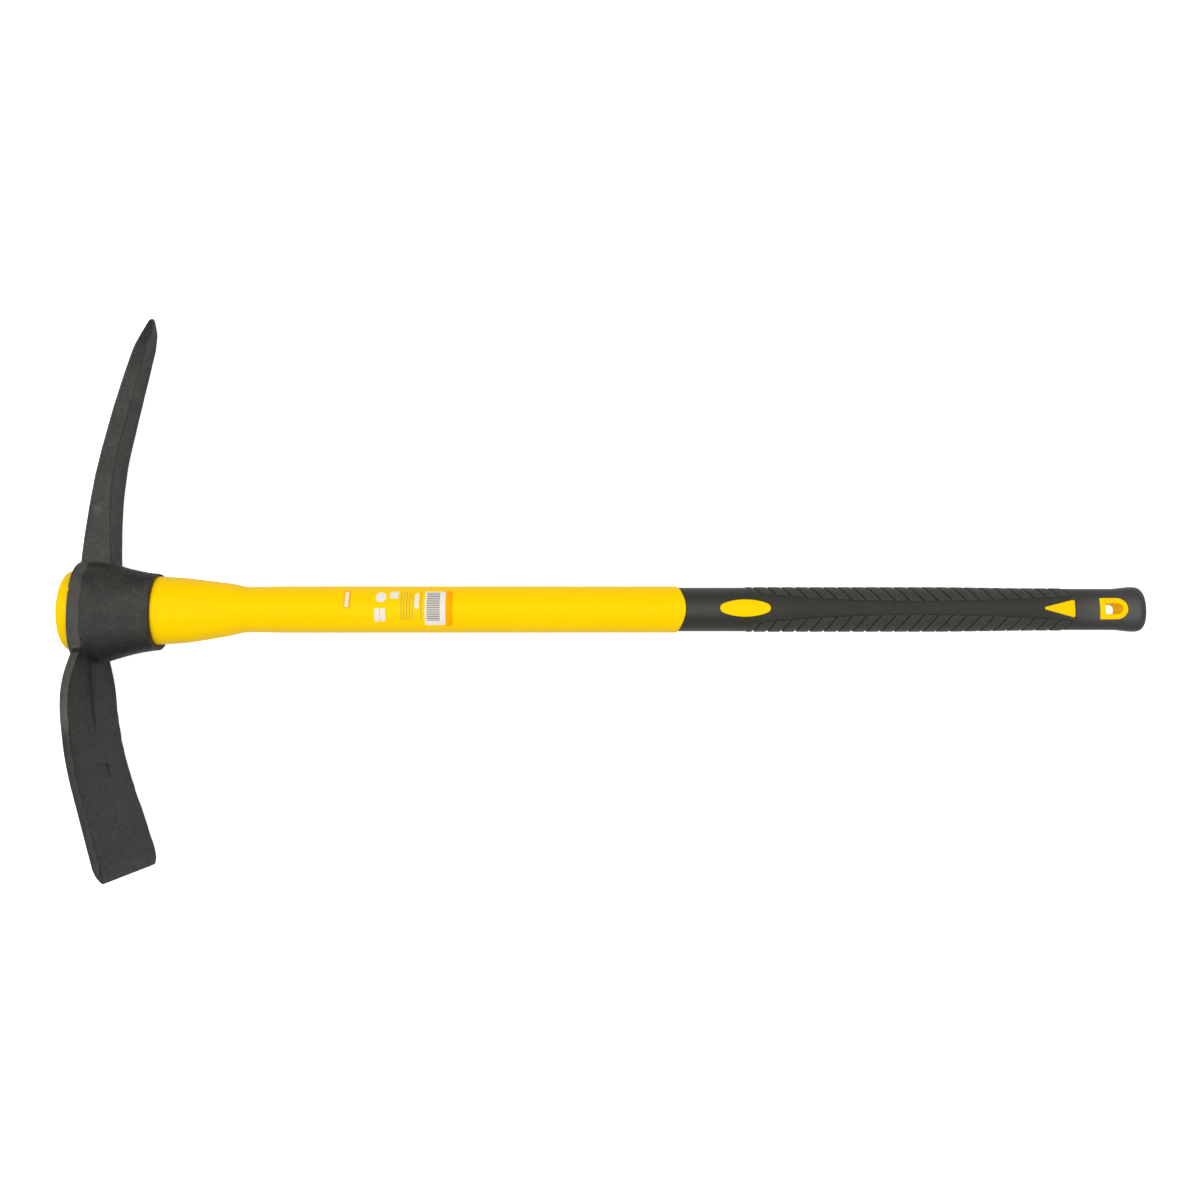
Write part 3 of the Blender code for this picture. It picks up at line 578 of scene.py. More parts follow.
class Tree:
    """Short calls for building one node tree."""

    def __init__(self, tree):
        self.tree = tree

    def add(self, kind, inputs=None, **settings):
        node = self.tree.nodes.new(kind)
        for key, value in settings.items():
            setattr(node, key, value)
        for socket, value in (inputs or {}).items():
            self.feed(node.inputs[socket], value)
        return node

    def feed(self, socket, value):
        """Link a socket to another one, or set its value."""
        if isinstance(value, bpy.types.NodeSocket):
            self.tree.links.new(value, socket)
        elif isinstance(value, (tuple, list)) and len(value) == 3 and socket.type == 'RGBA':
            socket.default_value = (*value, 1.0)
        else:
            socket.default_value = value

    def math(self, operation, *values, clamp=False):
        node = self.add('ShaderNodeMath', operation=operation, use_clamp=clamp)
        for socket, value in zip(node.inputs, values):
            self.feed(socket, value)
        return node.outputs[0]

    def times(self, value, *factors):
        """The value times each factor in turn."""
        for factor in factors:
            value = self.math('MULTIPLY', value, factor)
        return value

    def vector(self, operation, *values):
        node = self.add('ShaderNodeVectorMath', dict(enumerate(values)), operation=operation)
        return node.outputs['Value' if operation == 'DISTANCE' else 'Vector']

    def mix(self, share, first, second, kind='RGBA', how='MIX'):
        node = self.add('ShaderNodeMix', data_type=kind)
        if kind == 'RGBA':
            node.blend_type = how
        sockets = [socket for socket in node.inputs if socket.enabled]
        for socket, value in zip(sockets, (share, first, second)):
            self.feed(socket, value)
        return next(socket for socket in node.outputs if socket.enabled)

    def ramp(self, value, low, high, to_low=0.0, to_high=1.0):
        """The value's way from low to high, given out as from to_low to to_high."""
        node = self.add('ShaderNodeMapRange', {
            'Value': value, 'From Min': low, 'From Max': high,
            'To Min': to_low, 'To Max': to_high})
        return node.outputs[0]

    def clouds(self, place, scale, detail, roughness=0.5, distortion=0.0):
        """Cloudy noise, as a value round one half."""
        node = self.add('ShaderNodeTexNoise', {
            'Vector': place, 'Scale': scale, 'Detail': detail,
            'Roughness': roughness, 'Distortion': distortion})
        return node.outputs['Fac']

    def cells(self, place, scale):
        """Distance to the middle of the nearest cell."""
        node = self.add('ShaderNodeTexVoronoi', {
            'Vector': place, 'Scale': scale, 'Randomness': 1.0})
        return node.outputs['Distance']

    def axes(self, vector):
        """The parts X, Y and Z of a vector."""
        return self.add('ShaderNodeSeparateXYZ', {0: vector}).outputs

    def group(self, name, **inputs):
        """A shared shader group with its inputs, built when it is first placed."""
        tree = bpy.data.node_groups.get(name) or GROUPS[name]()
        node = self.add('ShaderNodeGroup', node_tree=tree)
        for key, value in inputs.items():
            self.feed(node.inputs[key.replace('_', ' ')], value)
        return node.outputs[0]

    def mottle(self, place, patches, contrast):
        return self.group('Mottle', Vector=place, Patches_per_metre=patches, Contrast=contrast)

    def grain(self, place, grains, detail=2.0):
        return self.group('Fine grain', Vector=place, Grains_per_metre=grains, Detail=detail)

    # Painted highlight on the outward edges
    def painted_edge_highlight(self, place, start, end, breaks):
        return self.group('Painted edge highlight', Vector=place, From=start, To=end, Breaks_per_metre=breaks)

    def place(self):
        """Object coordinates, turned back into the tool's frame."""
        back = tool_matrix().inverted()
        seen = self.add('ShaderNodeTexCoord').outputs['Object']
        return self.add('ShaderNodeMapping', {
            'Vector': seen, 'Location': back.translation, 'Rotation': back.to_euler(),
        }, vector_type='POINT').outputs[0]


def new_group(name, vectors, values, output):
    """An empty shader group: its vector inputs, its values with defaults, and one output."""
    tree = bpy.data.node_groups.new(name, 'ShaderNodeTree')
    for title in vectors:
        tree.interface.new_socket(name=title, in_out='INPUT', socket_type='NodeSocketVector')
    for title, default in values.items():
        socket = tree.interface.new_socket(
            name=title, in_out='INPUT', socket_type='NodeSocketFloat')
        socket.default_value = default
    tree.interface.new_socket(name=output, in_out='OUTPUT', socket_type='NodeSocketFloat')
    build = Tree(tree)
    given = build.add('NodeGroupInput').outputs
    return tree, build, given, build.add('NodeGroupOutput').inputs[output]


def grain_group():
    """Fine even grain, for moulded and painted skins."""
    tree, build, given, out = new_group(
        'Fine grain', ['Vector'], {'Grains per metre': 1000.0, 'Detail': 2.0}, 'Height')
    build.feed(out, build.clouds(given['Vector'], given['Grains per metre'], given['Detail'], 0.6))
    return tree


def mottle_group():
    """Soft patches of two sizes, as a value from 0 to 1."""
    tree, build, given, out = new_group(
        'Mottle', ['Vector'], {'Patches per metre': 60.0, 'Contrast': 1.0}, 'Value')
    place, patches = given['Vector'], given['Patches per metre']
    wide = build.clouds(place, patches, 3.0, 0.55, 0.4)
    small = build.clouds(place, build.times(patches, 7.0), 2.0, 0.6)
    both = build.math('MULTIPLY_ADD', small, 0.35, build.times(wide, 0.65))
    spread = build.times(build.math('SUBTRACT', both, 0.5), given['Contrast'])
    build.feed(out, build.math('MULTIPLY_ADD', spread, 3.0, 0.5, clamp=True))
    return tree


def edge_highlight_group():
    """Painted edge highlight: a mask on the outward edges, broken up by a coarse noise."""
    tree, build, given, out = new_group(
        'Painted edge highlight', ['Vector'], {'From': 0.53, 'To': 0.62, 'Breaks per metre': 160.0}, 'Mask')
    edge = build.add('ShaderNodeNewGeometry').outputs['Pointiness']
    breaks = build.clouds(given['Vector'], given['Breaks per metre'], 4.0)
    build.feed(out, build.math(
        'MULTIPLY', build.ramp(edge, given['From'], given['To']),
        build.ramp(breaks, 0.42, 0.62), clamp=True))
    return tree


def patch_group():
    """Printed patch: a mask of a box with round corners, seen along z."""
    tree, build, given, out = new_group(
        'Flat patch', ['Vector', 'Middle', 'Half size'],
        {'Corner': 0.001, 'Softness': 0.0001}, 'Mask')
    away = build.vector('ABSOLUTE', build.vector('SUBTRACT', given['Vector'], given['Middle']))
    parts = build.axes(build.vector('SUBTRACT', away, given['Half size']))
    x = build.math('MAXIMUM', build.math('ADD', parts['X'], given['Corner']), 0.0)
    y = build.math('MAXIMUM', build.math('ADD', parts['Y'], given['Corner']), 0.0)
    length = build.math('SQRT', build.math('MULTIPLY_ADD', x, x, build.times(y, y)))
    outside = build.math('SUBTRACT', length, given['Corner'])
    build.feed(out, build.math(
        'SUBTRACT', 0.5, build.math('DIVIDE', outside, given['Softness']), clamp=True))
    return tree


GROUPS = {
    'Mottle': mottle_group,
    'Fine grain': grain_group,
    'Painted edge highlight': edge_highlight_group,
    'Flat patch': patch_group,
}


def new_material(name, **fixed):
    """A material with its Principled shader; fixed sets the shader's own constants."""
    material = bpy.data.materials.new(name)
    material.use_nodes = True
    shader = material.node_tree.nodes['Principled BSDF']
    for key, value in fixed.items():
        shader.inputs[key.replace('_', ' ')].default_value = value
    return material, Tree(material.node_tree), shader


def scaled(colour, factor):
    """The colour with each channel times the factor."""
    return tuple(channel * factor for channel in colour)


def lead_in(build, shader, colour, rough, bumps):
    """Lead the colour, the roughness and a chain of bumps into the shader.

    Each bump is (height, distance, strength).
    """
    build.feed(shader.inputs['Base Color'], colour)
    build.feed(shader.inputs['Roughness'], rough)
    normal = None
    for height, distance, strength in bumps:
        inputs = {'Height': height, 'Distance': distance, 'Strength': strength}
        if normal is not None:
            inputs['Normal'] = normal
        normal = build.add('ShaderNodeBump', inputs).outputs[0]
    build.feed(shader.inputs['Normal'], normal)


def forged_painted_shade(build, place, parts, mottle):
    """Painted light and shade over the forged skin, by the place on the head."""
    y = parts['Y']
    on_blade = build.ramp(y, -0.045, -0.065)
    # The eye: a painted highlight along its middle, and painted shade down to the blade
    crown = build.math('ABSOLUTE', build.math('ADD', y, -0.004))
    eye_painted_light_and_shade = build.times(build.ramp(crown, 0.004, 0.016, 1.20, 1.0),
                         build.ramp(y, -0.019, -0.034, 1.0, 0.58))
    # The blade: painted shade towards its upper side, painted light at its root, and darker at its
    # edge
    blade_painted_shade = build.ramp(parts['Z'], -0.040, 0.040, 1.26, 0.43)
    root = build.times(build.ramp(y, -0.066, -0.049), build.ramp(y, -0.0455, -0.0475))
    # Small painted highlights, fewer on the blade
    painted_glints = build.ramp(build.clouds(place, 420.0, 4.0, 0.65, 0.8), 0.46, 0.72)
    painted_glints = build.times(painted_glints, build.math('MULTIPLY_ADD', on_blade, -0.75, 1.0),
                         build.ramp(mottle, 0.1, 0.9, 0.35, 1.0))
    return build.times(build.mix(on_blade, eye_painted_light_and_shade, blade_painted_shade, 'FLOAT'),
                       build.math('MULTIPLY_ADD', root, 0.5, 1.0),
                       build.ramp(y, -0.165, -0.205, 1.0, 0.60),
                       build.math('MULTIPLY_ADD', painted_glints, 1.3, 0.85))


def trimmed_painted_shade(build, y, spots):
    """Painted light and shade on the trimmed land and the blade's sides: weaker on the land, and
    darker where the sides start, along a frayed line.
    """
    frayed = build.math('MULTIPLY_ADD', spots, 0.012, y)
    return build.times(build.ramp(y, -0.036, -0.046, 0.74, 1.0),
                       build.ramp(frayed, -0.098, -0.086, 0.40, 1.0))


def flat_mottle_and_painted_shade(build, y, spots):
    """Mottle and painted light of the pick's flat sides, which darken towards the point."""
    return build.times(build.ramp(spots, 0.1, 0.9, 0.78, 1.22),
                       build.ramp(y, 0.185, 0.235, 1.0, 0.50))


def steel_material(settings, name, painted_lightness, kind='forged'):
    """Dark lacquered forging: mottled olive grey, fine scale pits and a painted highlight on its
    edges.

    The kinds are forged, trimmed for the land and the blade's sides, and flat for the
    pick's rougher flat sides. Each kind has its own painted light and shade, and the
    trimmed and flat kinds are lighter copies: painted light, which on the land goes with its
    trimmed finish.
    """
    material, build, shader = new_material(name, Specular_IOR_Level=0.27)
    place = build.place()
    parts = build.axes(place)
    mottle = build.mottle(place, 70.0, 1.0)
    spots = build.mottle(place, 420.0, 1.3)
    dark = scaled(scaled(settings.steel_colour, 0.72), painted_lightness)
    light = scaled(scaled(settings.steel_colour, 1.30), painted_lightness)
    colour = build.mix(mottle, dark, light)
    colour = build.mix(build.times(spots, 0.35), colour, light)
    if kind == 'forged':
        painted_shade = forged_painted_shade(build, place, parts, mottle)
    elif kind == 'trimmed':
        painted_shade = trimmed_painted_shade(build, parts['Y'], spots)
    else:
        painted_shade = flat_mottle_and_painted_shade(build, parts['Y'], spots)
    # Painted light and shade of the kind, laid over the colour
    colour = build.mix(1.0, colour, painted_shade, how='MULTIPLY')
    # Brown film in places and on the eye's rear rim, and a rubbed place on the pick
    brown = build.ramp(build.clouds(place, 38.0, 5.0, 0.7, 1.2), 0.62, 0.78, 0.0, 0.55)
    colour = build.mix(brown, colour, BROWN_FILM)
    if kind == 'forged':
        eye_end = HEAD_START + EYE_LENGTH
        rim = build.ramp(parts['X'], eye_end - 2.2 * MM, eye_end - 0.6 * MM)
        colour = build.mix(build.times(rim, 0.75), colour, BROWN_RIM)
    elif kind == 'flat':
        away = build.vector('DISTANCE', place, RUBBED_SPOT)
        rubbed_and_sheen = build.times(build.ramp(away, 0.0055, 0.001),
                             build.ramp(spots, 0.3, 0.7, 0.3, 0.9))
        colour = build.mix(rubbed_and_sheen, colour, RUBBED_STEEL)
    # Painted highlight on the outward edges of the forging
    painted_edge_highlight = build.painted_edge_highlight(place, 0.52, 0.60, 180.0)
    colour = build.mix(build.times(painted_edge_highlight, 0.55), colour, EDGE_HIGHLIGHT_STEEL)
    rough = build.ramp(spots, 0.0, 1.0, settings.roughness - 0.11, settings.roughness + 0.13)
    lead_in(build, shader, colour, rough, [
        (spots, 0.00018, 0.75),
        (build.ramp(build.cells(place, 620.0), 0.0, 0.35), 0.00008, 0.50),
        (build.grain(place, 1500.0, 3.0), 0.00004, 0.60),
    ])
    return material


def yellow_material(settings, name, glow):
    """Moulded semi-gloss yellow plastic with faint flow marks and a fine skin.

    The glow stands for the light that comes through the plastic round the hang hole.
    """
    material, build, shader = new_material(
        name, Specular_IOR_Level=0.18, Specular_Tint=(1.0, 0.78, 0.15, 1.0),
        Emission_Strength=glow)
    place = build.place()
    mottle = build.mottle(place, 22.0, 0.8)
    grain = build.grain(place, 2600.0)
    base = tuple(settings.yellow_colour)
    deep = (base[0] * 0.985, base[1] * 0.955, base[2])
    if glow:
        build.feed(shader.inputs['Emission Color'], build.mix(mottle, DEEP_GLOW, PALE_GLOW))
    lead_in(build, shader, build.mix(mottle, deep, base), build.ramp(grain, 0.2, 0.8, 0.36, 0.46),
            [(mottle, 0.00006, 0.25), (grain, 0.00002, 0.35)])
    return material


def rubber_material(settings, name, base, tread):
    """Soft black rubber: grained and dull on the tread, else smooth.

    The smooth rubber is duller where a hand holds it, and glossier towards the butt, where it is
    also painted paler as a painted sheen. The tread's outward edges carry a painted highlight.
    """
    material, build, shader = new_material(
        name, Specular_IOR_Level=0.34 if tread else 0.42,
        Specular_Tint=(1.0, 0.98, 0.86, 1.0), Sheen_Weight=0.08, Sheen_Roughness=0.5)
    place = build.place()
    mottle = build.mottle(place, 90.0, 0.9)
    dust = build.mottle(place, 520.0 if tread else 320.0, 1.2)
    grain = build.grain(place, 1100.0 if tread else 3200.0, 3.0)
    colour = build.mix(mottle, scaled(base, 0.82), base)
    dusty = scaled(base, 1.7)
    if tread:
        colour = build.mix(build.times(dust, 0.40), colour, dusty)
        # Painted highlight on the outward edges of the tread
        painted_edge_highlight = build.painted_edge_highlight(place, 0.51, 0.57, 500.0)
        colour = build.mix(build.times(painted_edge_highlight, 0.6), colour, scaled(base, 2.6))
        rough = build.ramp(grain, 0.25, 0.75, 0.58, 0.80)
        bumps = [(dust, 0.00016, 0.7), (grain, 0.00014, 0.9)]
    else:
        along = build.axes(place)['X']
        hand = build.math('SUBTRACT', build.ramp(along, 0.54, 0.60),
                          build.ramp(along, 0.79, 0.83))
        # Paler towards the butt: a painted sheen; the same mask makes the rubber glossier there
        rubbed_and_sheen = build.math('ADD', build.ramp(along, 0.66, 0.80, 0.0, 0.10),
                            build.ramp(along, 0.805, 0.86, 0.0, 0.80))
        colour = build.mix(rubbed_and_sheen, colour, tuple(settings.butt_sheen_colour))
        colour = build.mix(build.times(dust, 0.18), colour, dusty)
        rough = build.ramp(grain, 0.25, 0.75, 0.44, 0.54)
        rough = build.math('MULTIPLY_ADD', hand, 0.22, rough)
        rough = build.math('MULTIPLY_ADD', rubbed_and_sheen, -0.13, rough)
        bumps = [(mottle, 0.00004, 0.2), (grain, 0.00002, 0.5)]
    lead_in(build, shader, colour, rough, bumps)
    return material


def core_material():
    """Sawn end and side of a glass-fibre rod: straw resin with fine fibre ends."""
    material, build, shader = new_material('Glass fibre rod', Specular_IOR_Level=0.4)
    place = build.place()
    fibres = build.cells(place, 1900.0)
    mottle = build.mottle(place, 260.0, 1.0)
    colour = build.mix(mottle, (0.46, 0.42, 0.27), (0.66, 0.62, 0.44))
    colour = build.mix(build.ramp(fibres, 0.1, 0.6, 0.0, 0.5), colour, (0.30, 0.26, 0.15))
    lead_in(build, shader, colour, build.ramp(mottle, 0.0, 1.0, 0.45, 0.7),
            [(fibres, 0.00008, 0.6)])
    return material


def label_material(settings):
    """Printed film: a golden ground, plain pale patches, fine lines and a panel of even bars."""
    material, build, shader = new_material(
        'Printed film', Specular_IOR_Level=0.25, Specular_Tint=(1.0, 0.75, 0.15, 1.0))
    place = build.place()
    start, end = LABEL_START, LABEL_START + LABEL_LENGTH
    ground, strip = tuple(settings.ground_colour), tuple(settings.strip_colour)
    pale, ink = tuple(settings.patch_colour), tuple(settings.bar_colour)

    def patch(x, y, half_x, half_y, corner):
        """Mask of a patch; all but x are in millimetres."""
        return build.group('Flat patch', Vector=place, Middle=(x, y * MM, 0.0),
                           Half_size=(half_x * MM, half_y * MM, 1.0), Corner=corner * MM)

    def stripes(along, pitch, share):
        """Even stripes across a direction, which cover a share of it."""
        phase = build.math('FRACT', build.times(along, 1 / pitch))
        return build.math('LESS_THAN', phase, share)

    mottle = build.mottle(place, 120.0, 0.7)
    colour = build.mix(mottle, scaled(ground, 0.965), ground)
    colour = build.mix(patch(end - 3.2 * MM, 0.0, 3.4, 15, 0.1), colour, strip)
    colour = build.mix(patch(start + 6.1 * MM, 7.0, 2.7, 7.5, 0.5), colour, strip)
    for x, y, half_x, half_y, corner in PALE_PATCHES:
        colour = build.mix(patch(start + x * MM, y, half_x, half_y, corner), colour, pale)
    parts = build.axes(place)
    lines = build.times(stripes(parts['X'], 2.3 * MM, 0.3), 0.6)
    for x, half_x in LINE_BLOCKS:
        block = patch(start + x * MM, 1.8, half_x, 11.2, 0.2)
        colour = build.mix(build.times(lines, block), colour, ink)
    bars = stripes(parts['Y'], 1.5 * MM, 0.5)
    panel = patch(start + 75.8 * MM, 1.2, 5.3, 11.4, 0.2)
    colour = build.mix(build.times(bars, panel), colour, ink)
    lead_in(build, shader, colour, build.ramp(mottle, 0.0, 1.0, 0.30, 0.38),
            [(mottle, 0.00003, 0.3)])
    return material


# ---------------------------------------------------------------- head

def even_superoval(half_width, half_thickness, roundness, count):
    """Evenly spaced points of a full-bodied oval."""
    turn = np.linspace(0.0, 2 * pi, 1441)
    across = half_width * signed_power(np.cos(turn), 2 / roundness)
    up = half_thickness * signed_power(np.sin(turn), 2 / roundness)
    length = np.concatenate([[0.0], np.cumsum(np.hypot(np.diff(across), np.diff(up)))])
    even = np.linspace(0.0, length[-1], count + 1)[:-1]
    return np.interp(even, length, across), np.interp(even, length, up)


def eye_rings():
    """Outside of the eye: a land with soft edges at its front, then a hollow taper."""
    lip, rim = 1.1 * MM, 0.9 * MM
    profile = [(lip * (1 - cos(a)), LAND_HEIGHT - lip * (1 - sin(a))) for a in QUARTER]
    profile += [(x, LAND_HEIGHT) for x in np.linspace(2.4 * MM, LAND_WIDTH, 6)]
    profile += [(LAND_WIDTH + 0.25 * MM, LAND_HEIGHT * 0.80),
                (LAND_WIDTH + 0.55 * MM, LAND_HEIGHT * 0.20), (LAND_WIDTH + 0.9 * MM, 0.0)]
    profile += [(x, 0.0) for x in steps(LAND_WIDTH + 2 * MM, EYE_LENGTH - 2 * MM, 1.5 * MM)]
    profile += [(EYE_LENGTH - rim * (1 - sin(a)), -rim * (1 - cos(a))) for a in QUARTER]
    # Ragged edge where the land steps down to the taper
    chance = np.random.default_rng(5)
    ragged = chance.uniform(-1.0, 1.0, EYE_POINTS)
    ragged = (ragged + 0.7 * np.roll(ragged, 1) + 0.7 * np.roll(ragged, -1)) * 0.55 * MM
    rings = []
    for x, grow in profile:
        share = np.clip((x - EYE_SHOULDER) / (EYE_LENGTH - EYE_SHOULDER), 0.0, 1.0)
        half_width = blend(EYE_RIM_WIDTH, EYE_WIDTH, (1.0 - share) ** EYE_HOLLOW) / 2 + grow
        half_thickness = blend(EYE_THICKNESS, EYE_RIM_THICKNESS, x / EYE_LENGTH) / 2 + grow
        across, up = even_superoval(half_width, half_thickness, EYE_ROUNDNESS, EYE_POINTS)
        along = HEAD_START + x + ragged * np.exp(-((x - LAND_WIDTH) / (2.4 * MM)) ** 2)
        rings.append(np.stack([along, across - EYE_SHIFT - SWELL_SHIFT, up], 1))
    return rings


def oval(x, half, turns, grow=0.0, bulge=0.0):
    """Oval across the handle at x; bulge moves its flat sides along x."""
    return np.stack([
        x + bulge * np.sin(turns) ** 2,
        (half[0] + grow) * np.cos(turns) - handle_shift(x),
        (half[1] + grow) * np.sin(turns),
    ], 1)


def eye_hole_rings():
    """Tapered hole of the eye with a soft mouth at both ends."""
    mouth = 0.9 * MM
    end = HEAD_START + EYE_LENGTH
    turns = full_turn(120)
    soft = [(mouth * (1 - sin(a)), mouth * (1 - cos(a))) for a in QUARTER]
    stations = [(HEAD_START - 2 * MM, mouth)] + [(HEAD_START + x, g) for x, g in soft[::-1]]
    stations += [(x, 0.0) for x in steps(HEAD_START + 3 * MM, end - 3 * MM, 4 * MM)]
    stations += [(end - x, g) for x, g in soft] + [(end + 2 * MM, mouth)]
    return [oval(x, handle_half(x), turns, FIT + grow) for x, grow in stations]


def rounded_section(corners, side_points, radius, arc=4):
    """Points round polygons of equal corner counts, shape (rings, corners, 2).

    Each corner becomes a small curve, and each side gets its number of inner points. A
    curve takes no more than 0.42 of the sides that it joins.
    """
    count = corners.shape[1]
    share = np.linspace(0.0, 1.0, arc)[None, :, None]
    starts, ends, curves = [], [], []
    for k in range(count):
        corner = corners[:, k]
        near_end, far_end = (
            corner + side * np.minimum(radius / np.linalg.norm(side, axis=1), 0.42)[:, None]
            for side in (corners[:, k - 1] - corner, corners[:, (k + 1) % count] - corner))
        curves.append(near_end[:, None] * (1 - share) ** 2
                      + 2 * corner[:, None] * share * (1 - share) + far_end[:, None] * share ** 2)
        starts.append(near_end)
        ends.append(far_end)
    pieces = []
    for k in range(count):
        pieces.append(curves[k])
        inner = np.linspace(0.0, 1.0, side_points[k] + 2)[1:-1][None, :, None]
        pieces.append(ends[k][:, None] * (1 - inner) + starts[(k + 1) % count][:, None] * inner)
    return np.concatenate(pieces, axis=1)


def pick_rings():
    """Curved bar that grows slimmer outwards and ends in a blunt four-sided point."""
    spacing, tip = 1.25 * MM, 1.1 * MM
    point_start = PICK_REACH - POINT_LENGTH
    y = steps(PICK_START, PICK_REACH, spacing)
    rise = y - PICK_ROOT
    front = PICK_FRONT + PICK_FRONT_SLOPE * rise + rise ** 2 / (2 * PICK_FRONT_RADIUS)
    back = PICK_BACK + np.where(
        y < PICK_WAIST, arc_sag(np.minimum(y, PICK_WAIST) - PICK_WAIST, PICK_ROOT_RADIUS),
        bent_sag(np.maximum(y - PICK_WAIST, 0.0), PICK_BEND_RADIUS, PICK_BEND_ANGLE))
    thinning = np.where(
        y < PICK_THICKEST,
        PICK_ROOT_THINNING * (PICK_THICKEST - y) / (PICK_THICKEST - PICK_ROOT),
        PICK_POINT_THINNING * (y - PICK_THICKEST) / (point_start - PICK_THICKEST))
    half = (PICK_THICKNESS - thinning) / 2
    # The point: straight lines to its nose, and on to its blunt end
    stations = [point_start, PICK_REACH - POINT_NOSE, PICK_REACH]
    left = POINT_NOSE / POINT_LENGTH
    starts = [np.interp(point_start, y, values) for values in (front, back, half)]
    point_front = POINT_BACK - POINT_WIDTH
    point = y > point_start
    front = np.where(point, np.interp(y, stations, [
        starts[0], blend(point_front, starts[0], left), point_front]), front)
    back = np.where(point, np.interp(y, stations, [starts[1], POINT_NOSE_BACK, POINT_BACK]), back)
    half = np.where(point, np.interp(y, stations, [
        starts[2], blend(POINT_THICKNESS / 2, starts[2], left), POINT_THICKNESS / 2]), half)
    front_cut = np.interp(y, stations, [PICK_FRONT_CHAMFER, PICK_FRONT_CHAMFER * left, 0.7 * MM])
    back_cut = np.interp(y, stations, [PICK_BACK_CHAMFER, PICK_BACK_CHAMFER, 0.7 * MM])
    # Smooth the joins between the parts of the outline
    kernel = np.array([1, 2, 3, 2, 1]) / 9
    front, back, half = (
        np.convolve(np.pad(values, 2, mode='reflect', reflect_type='odd'), kernel, 'valid')
        for values in (front, back, half))
    # Close the blunt end in a small round
    keep = y < PICK_REACH - tip
    nose = (0.0, 0.55, 1.0, 1.35)
    y = np.append(y[keep], [PICK_REACH - tip + tip * sin(a) for a in nose])
    shrink = np.append(np.ones(keep.sum()), [cos(a) for a in nose])
    front, back, half, front_cut, back_cut = (
        np.append(values[keep], [values[-1]] * len(nose))
        for values in (front, back, half, front_cut, back_cut))
    middle = (front + back) / 2
    front, back = middle + (front - middle) * shrink, middle + (back - middle) * shrink
    half, front_cut, back_cut = half * shrink, front_cut * shrink, back_cut * shrink
    # Eight corners of the section, four of them mirrored
    upper = [(back, half - back_cut), (back - back_cut, half),
             (front + front_cut, half), (front, half - front_cut)]
    lower = [(x, -z) for x, z in upper[::-1]]
    corners = np.stack([np.stack(corner, 1) for corner in upper + lower], 1)
    section = rounded_section(corners, (0, 8, 2, 8, 2, 8, 0, 8), 1.1 * MM)
    along = np.broadcast_to(y[:, None], section.shape[:2])
    return np.stack([HEAD_START + section[..., 0], along, section[..., 1]], -1)


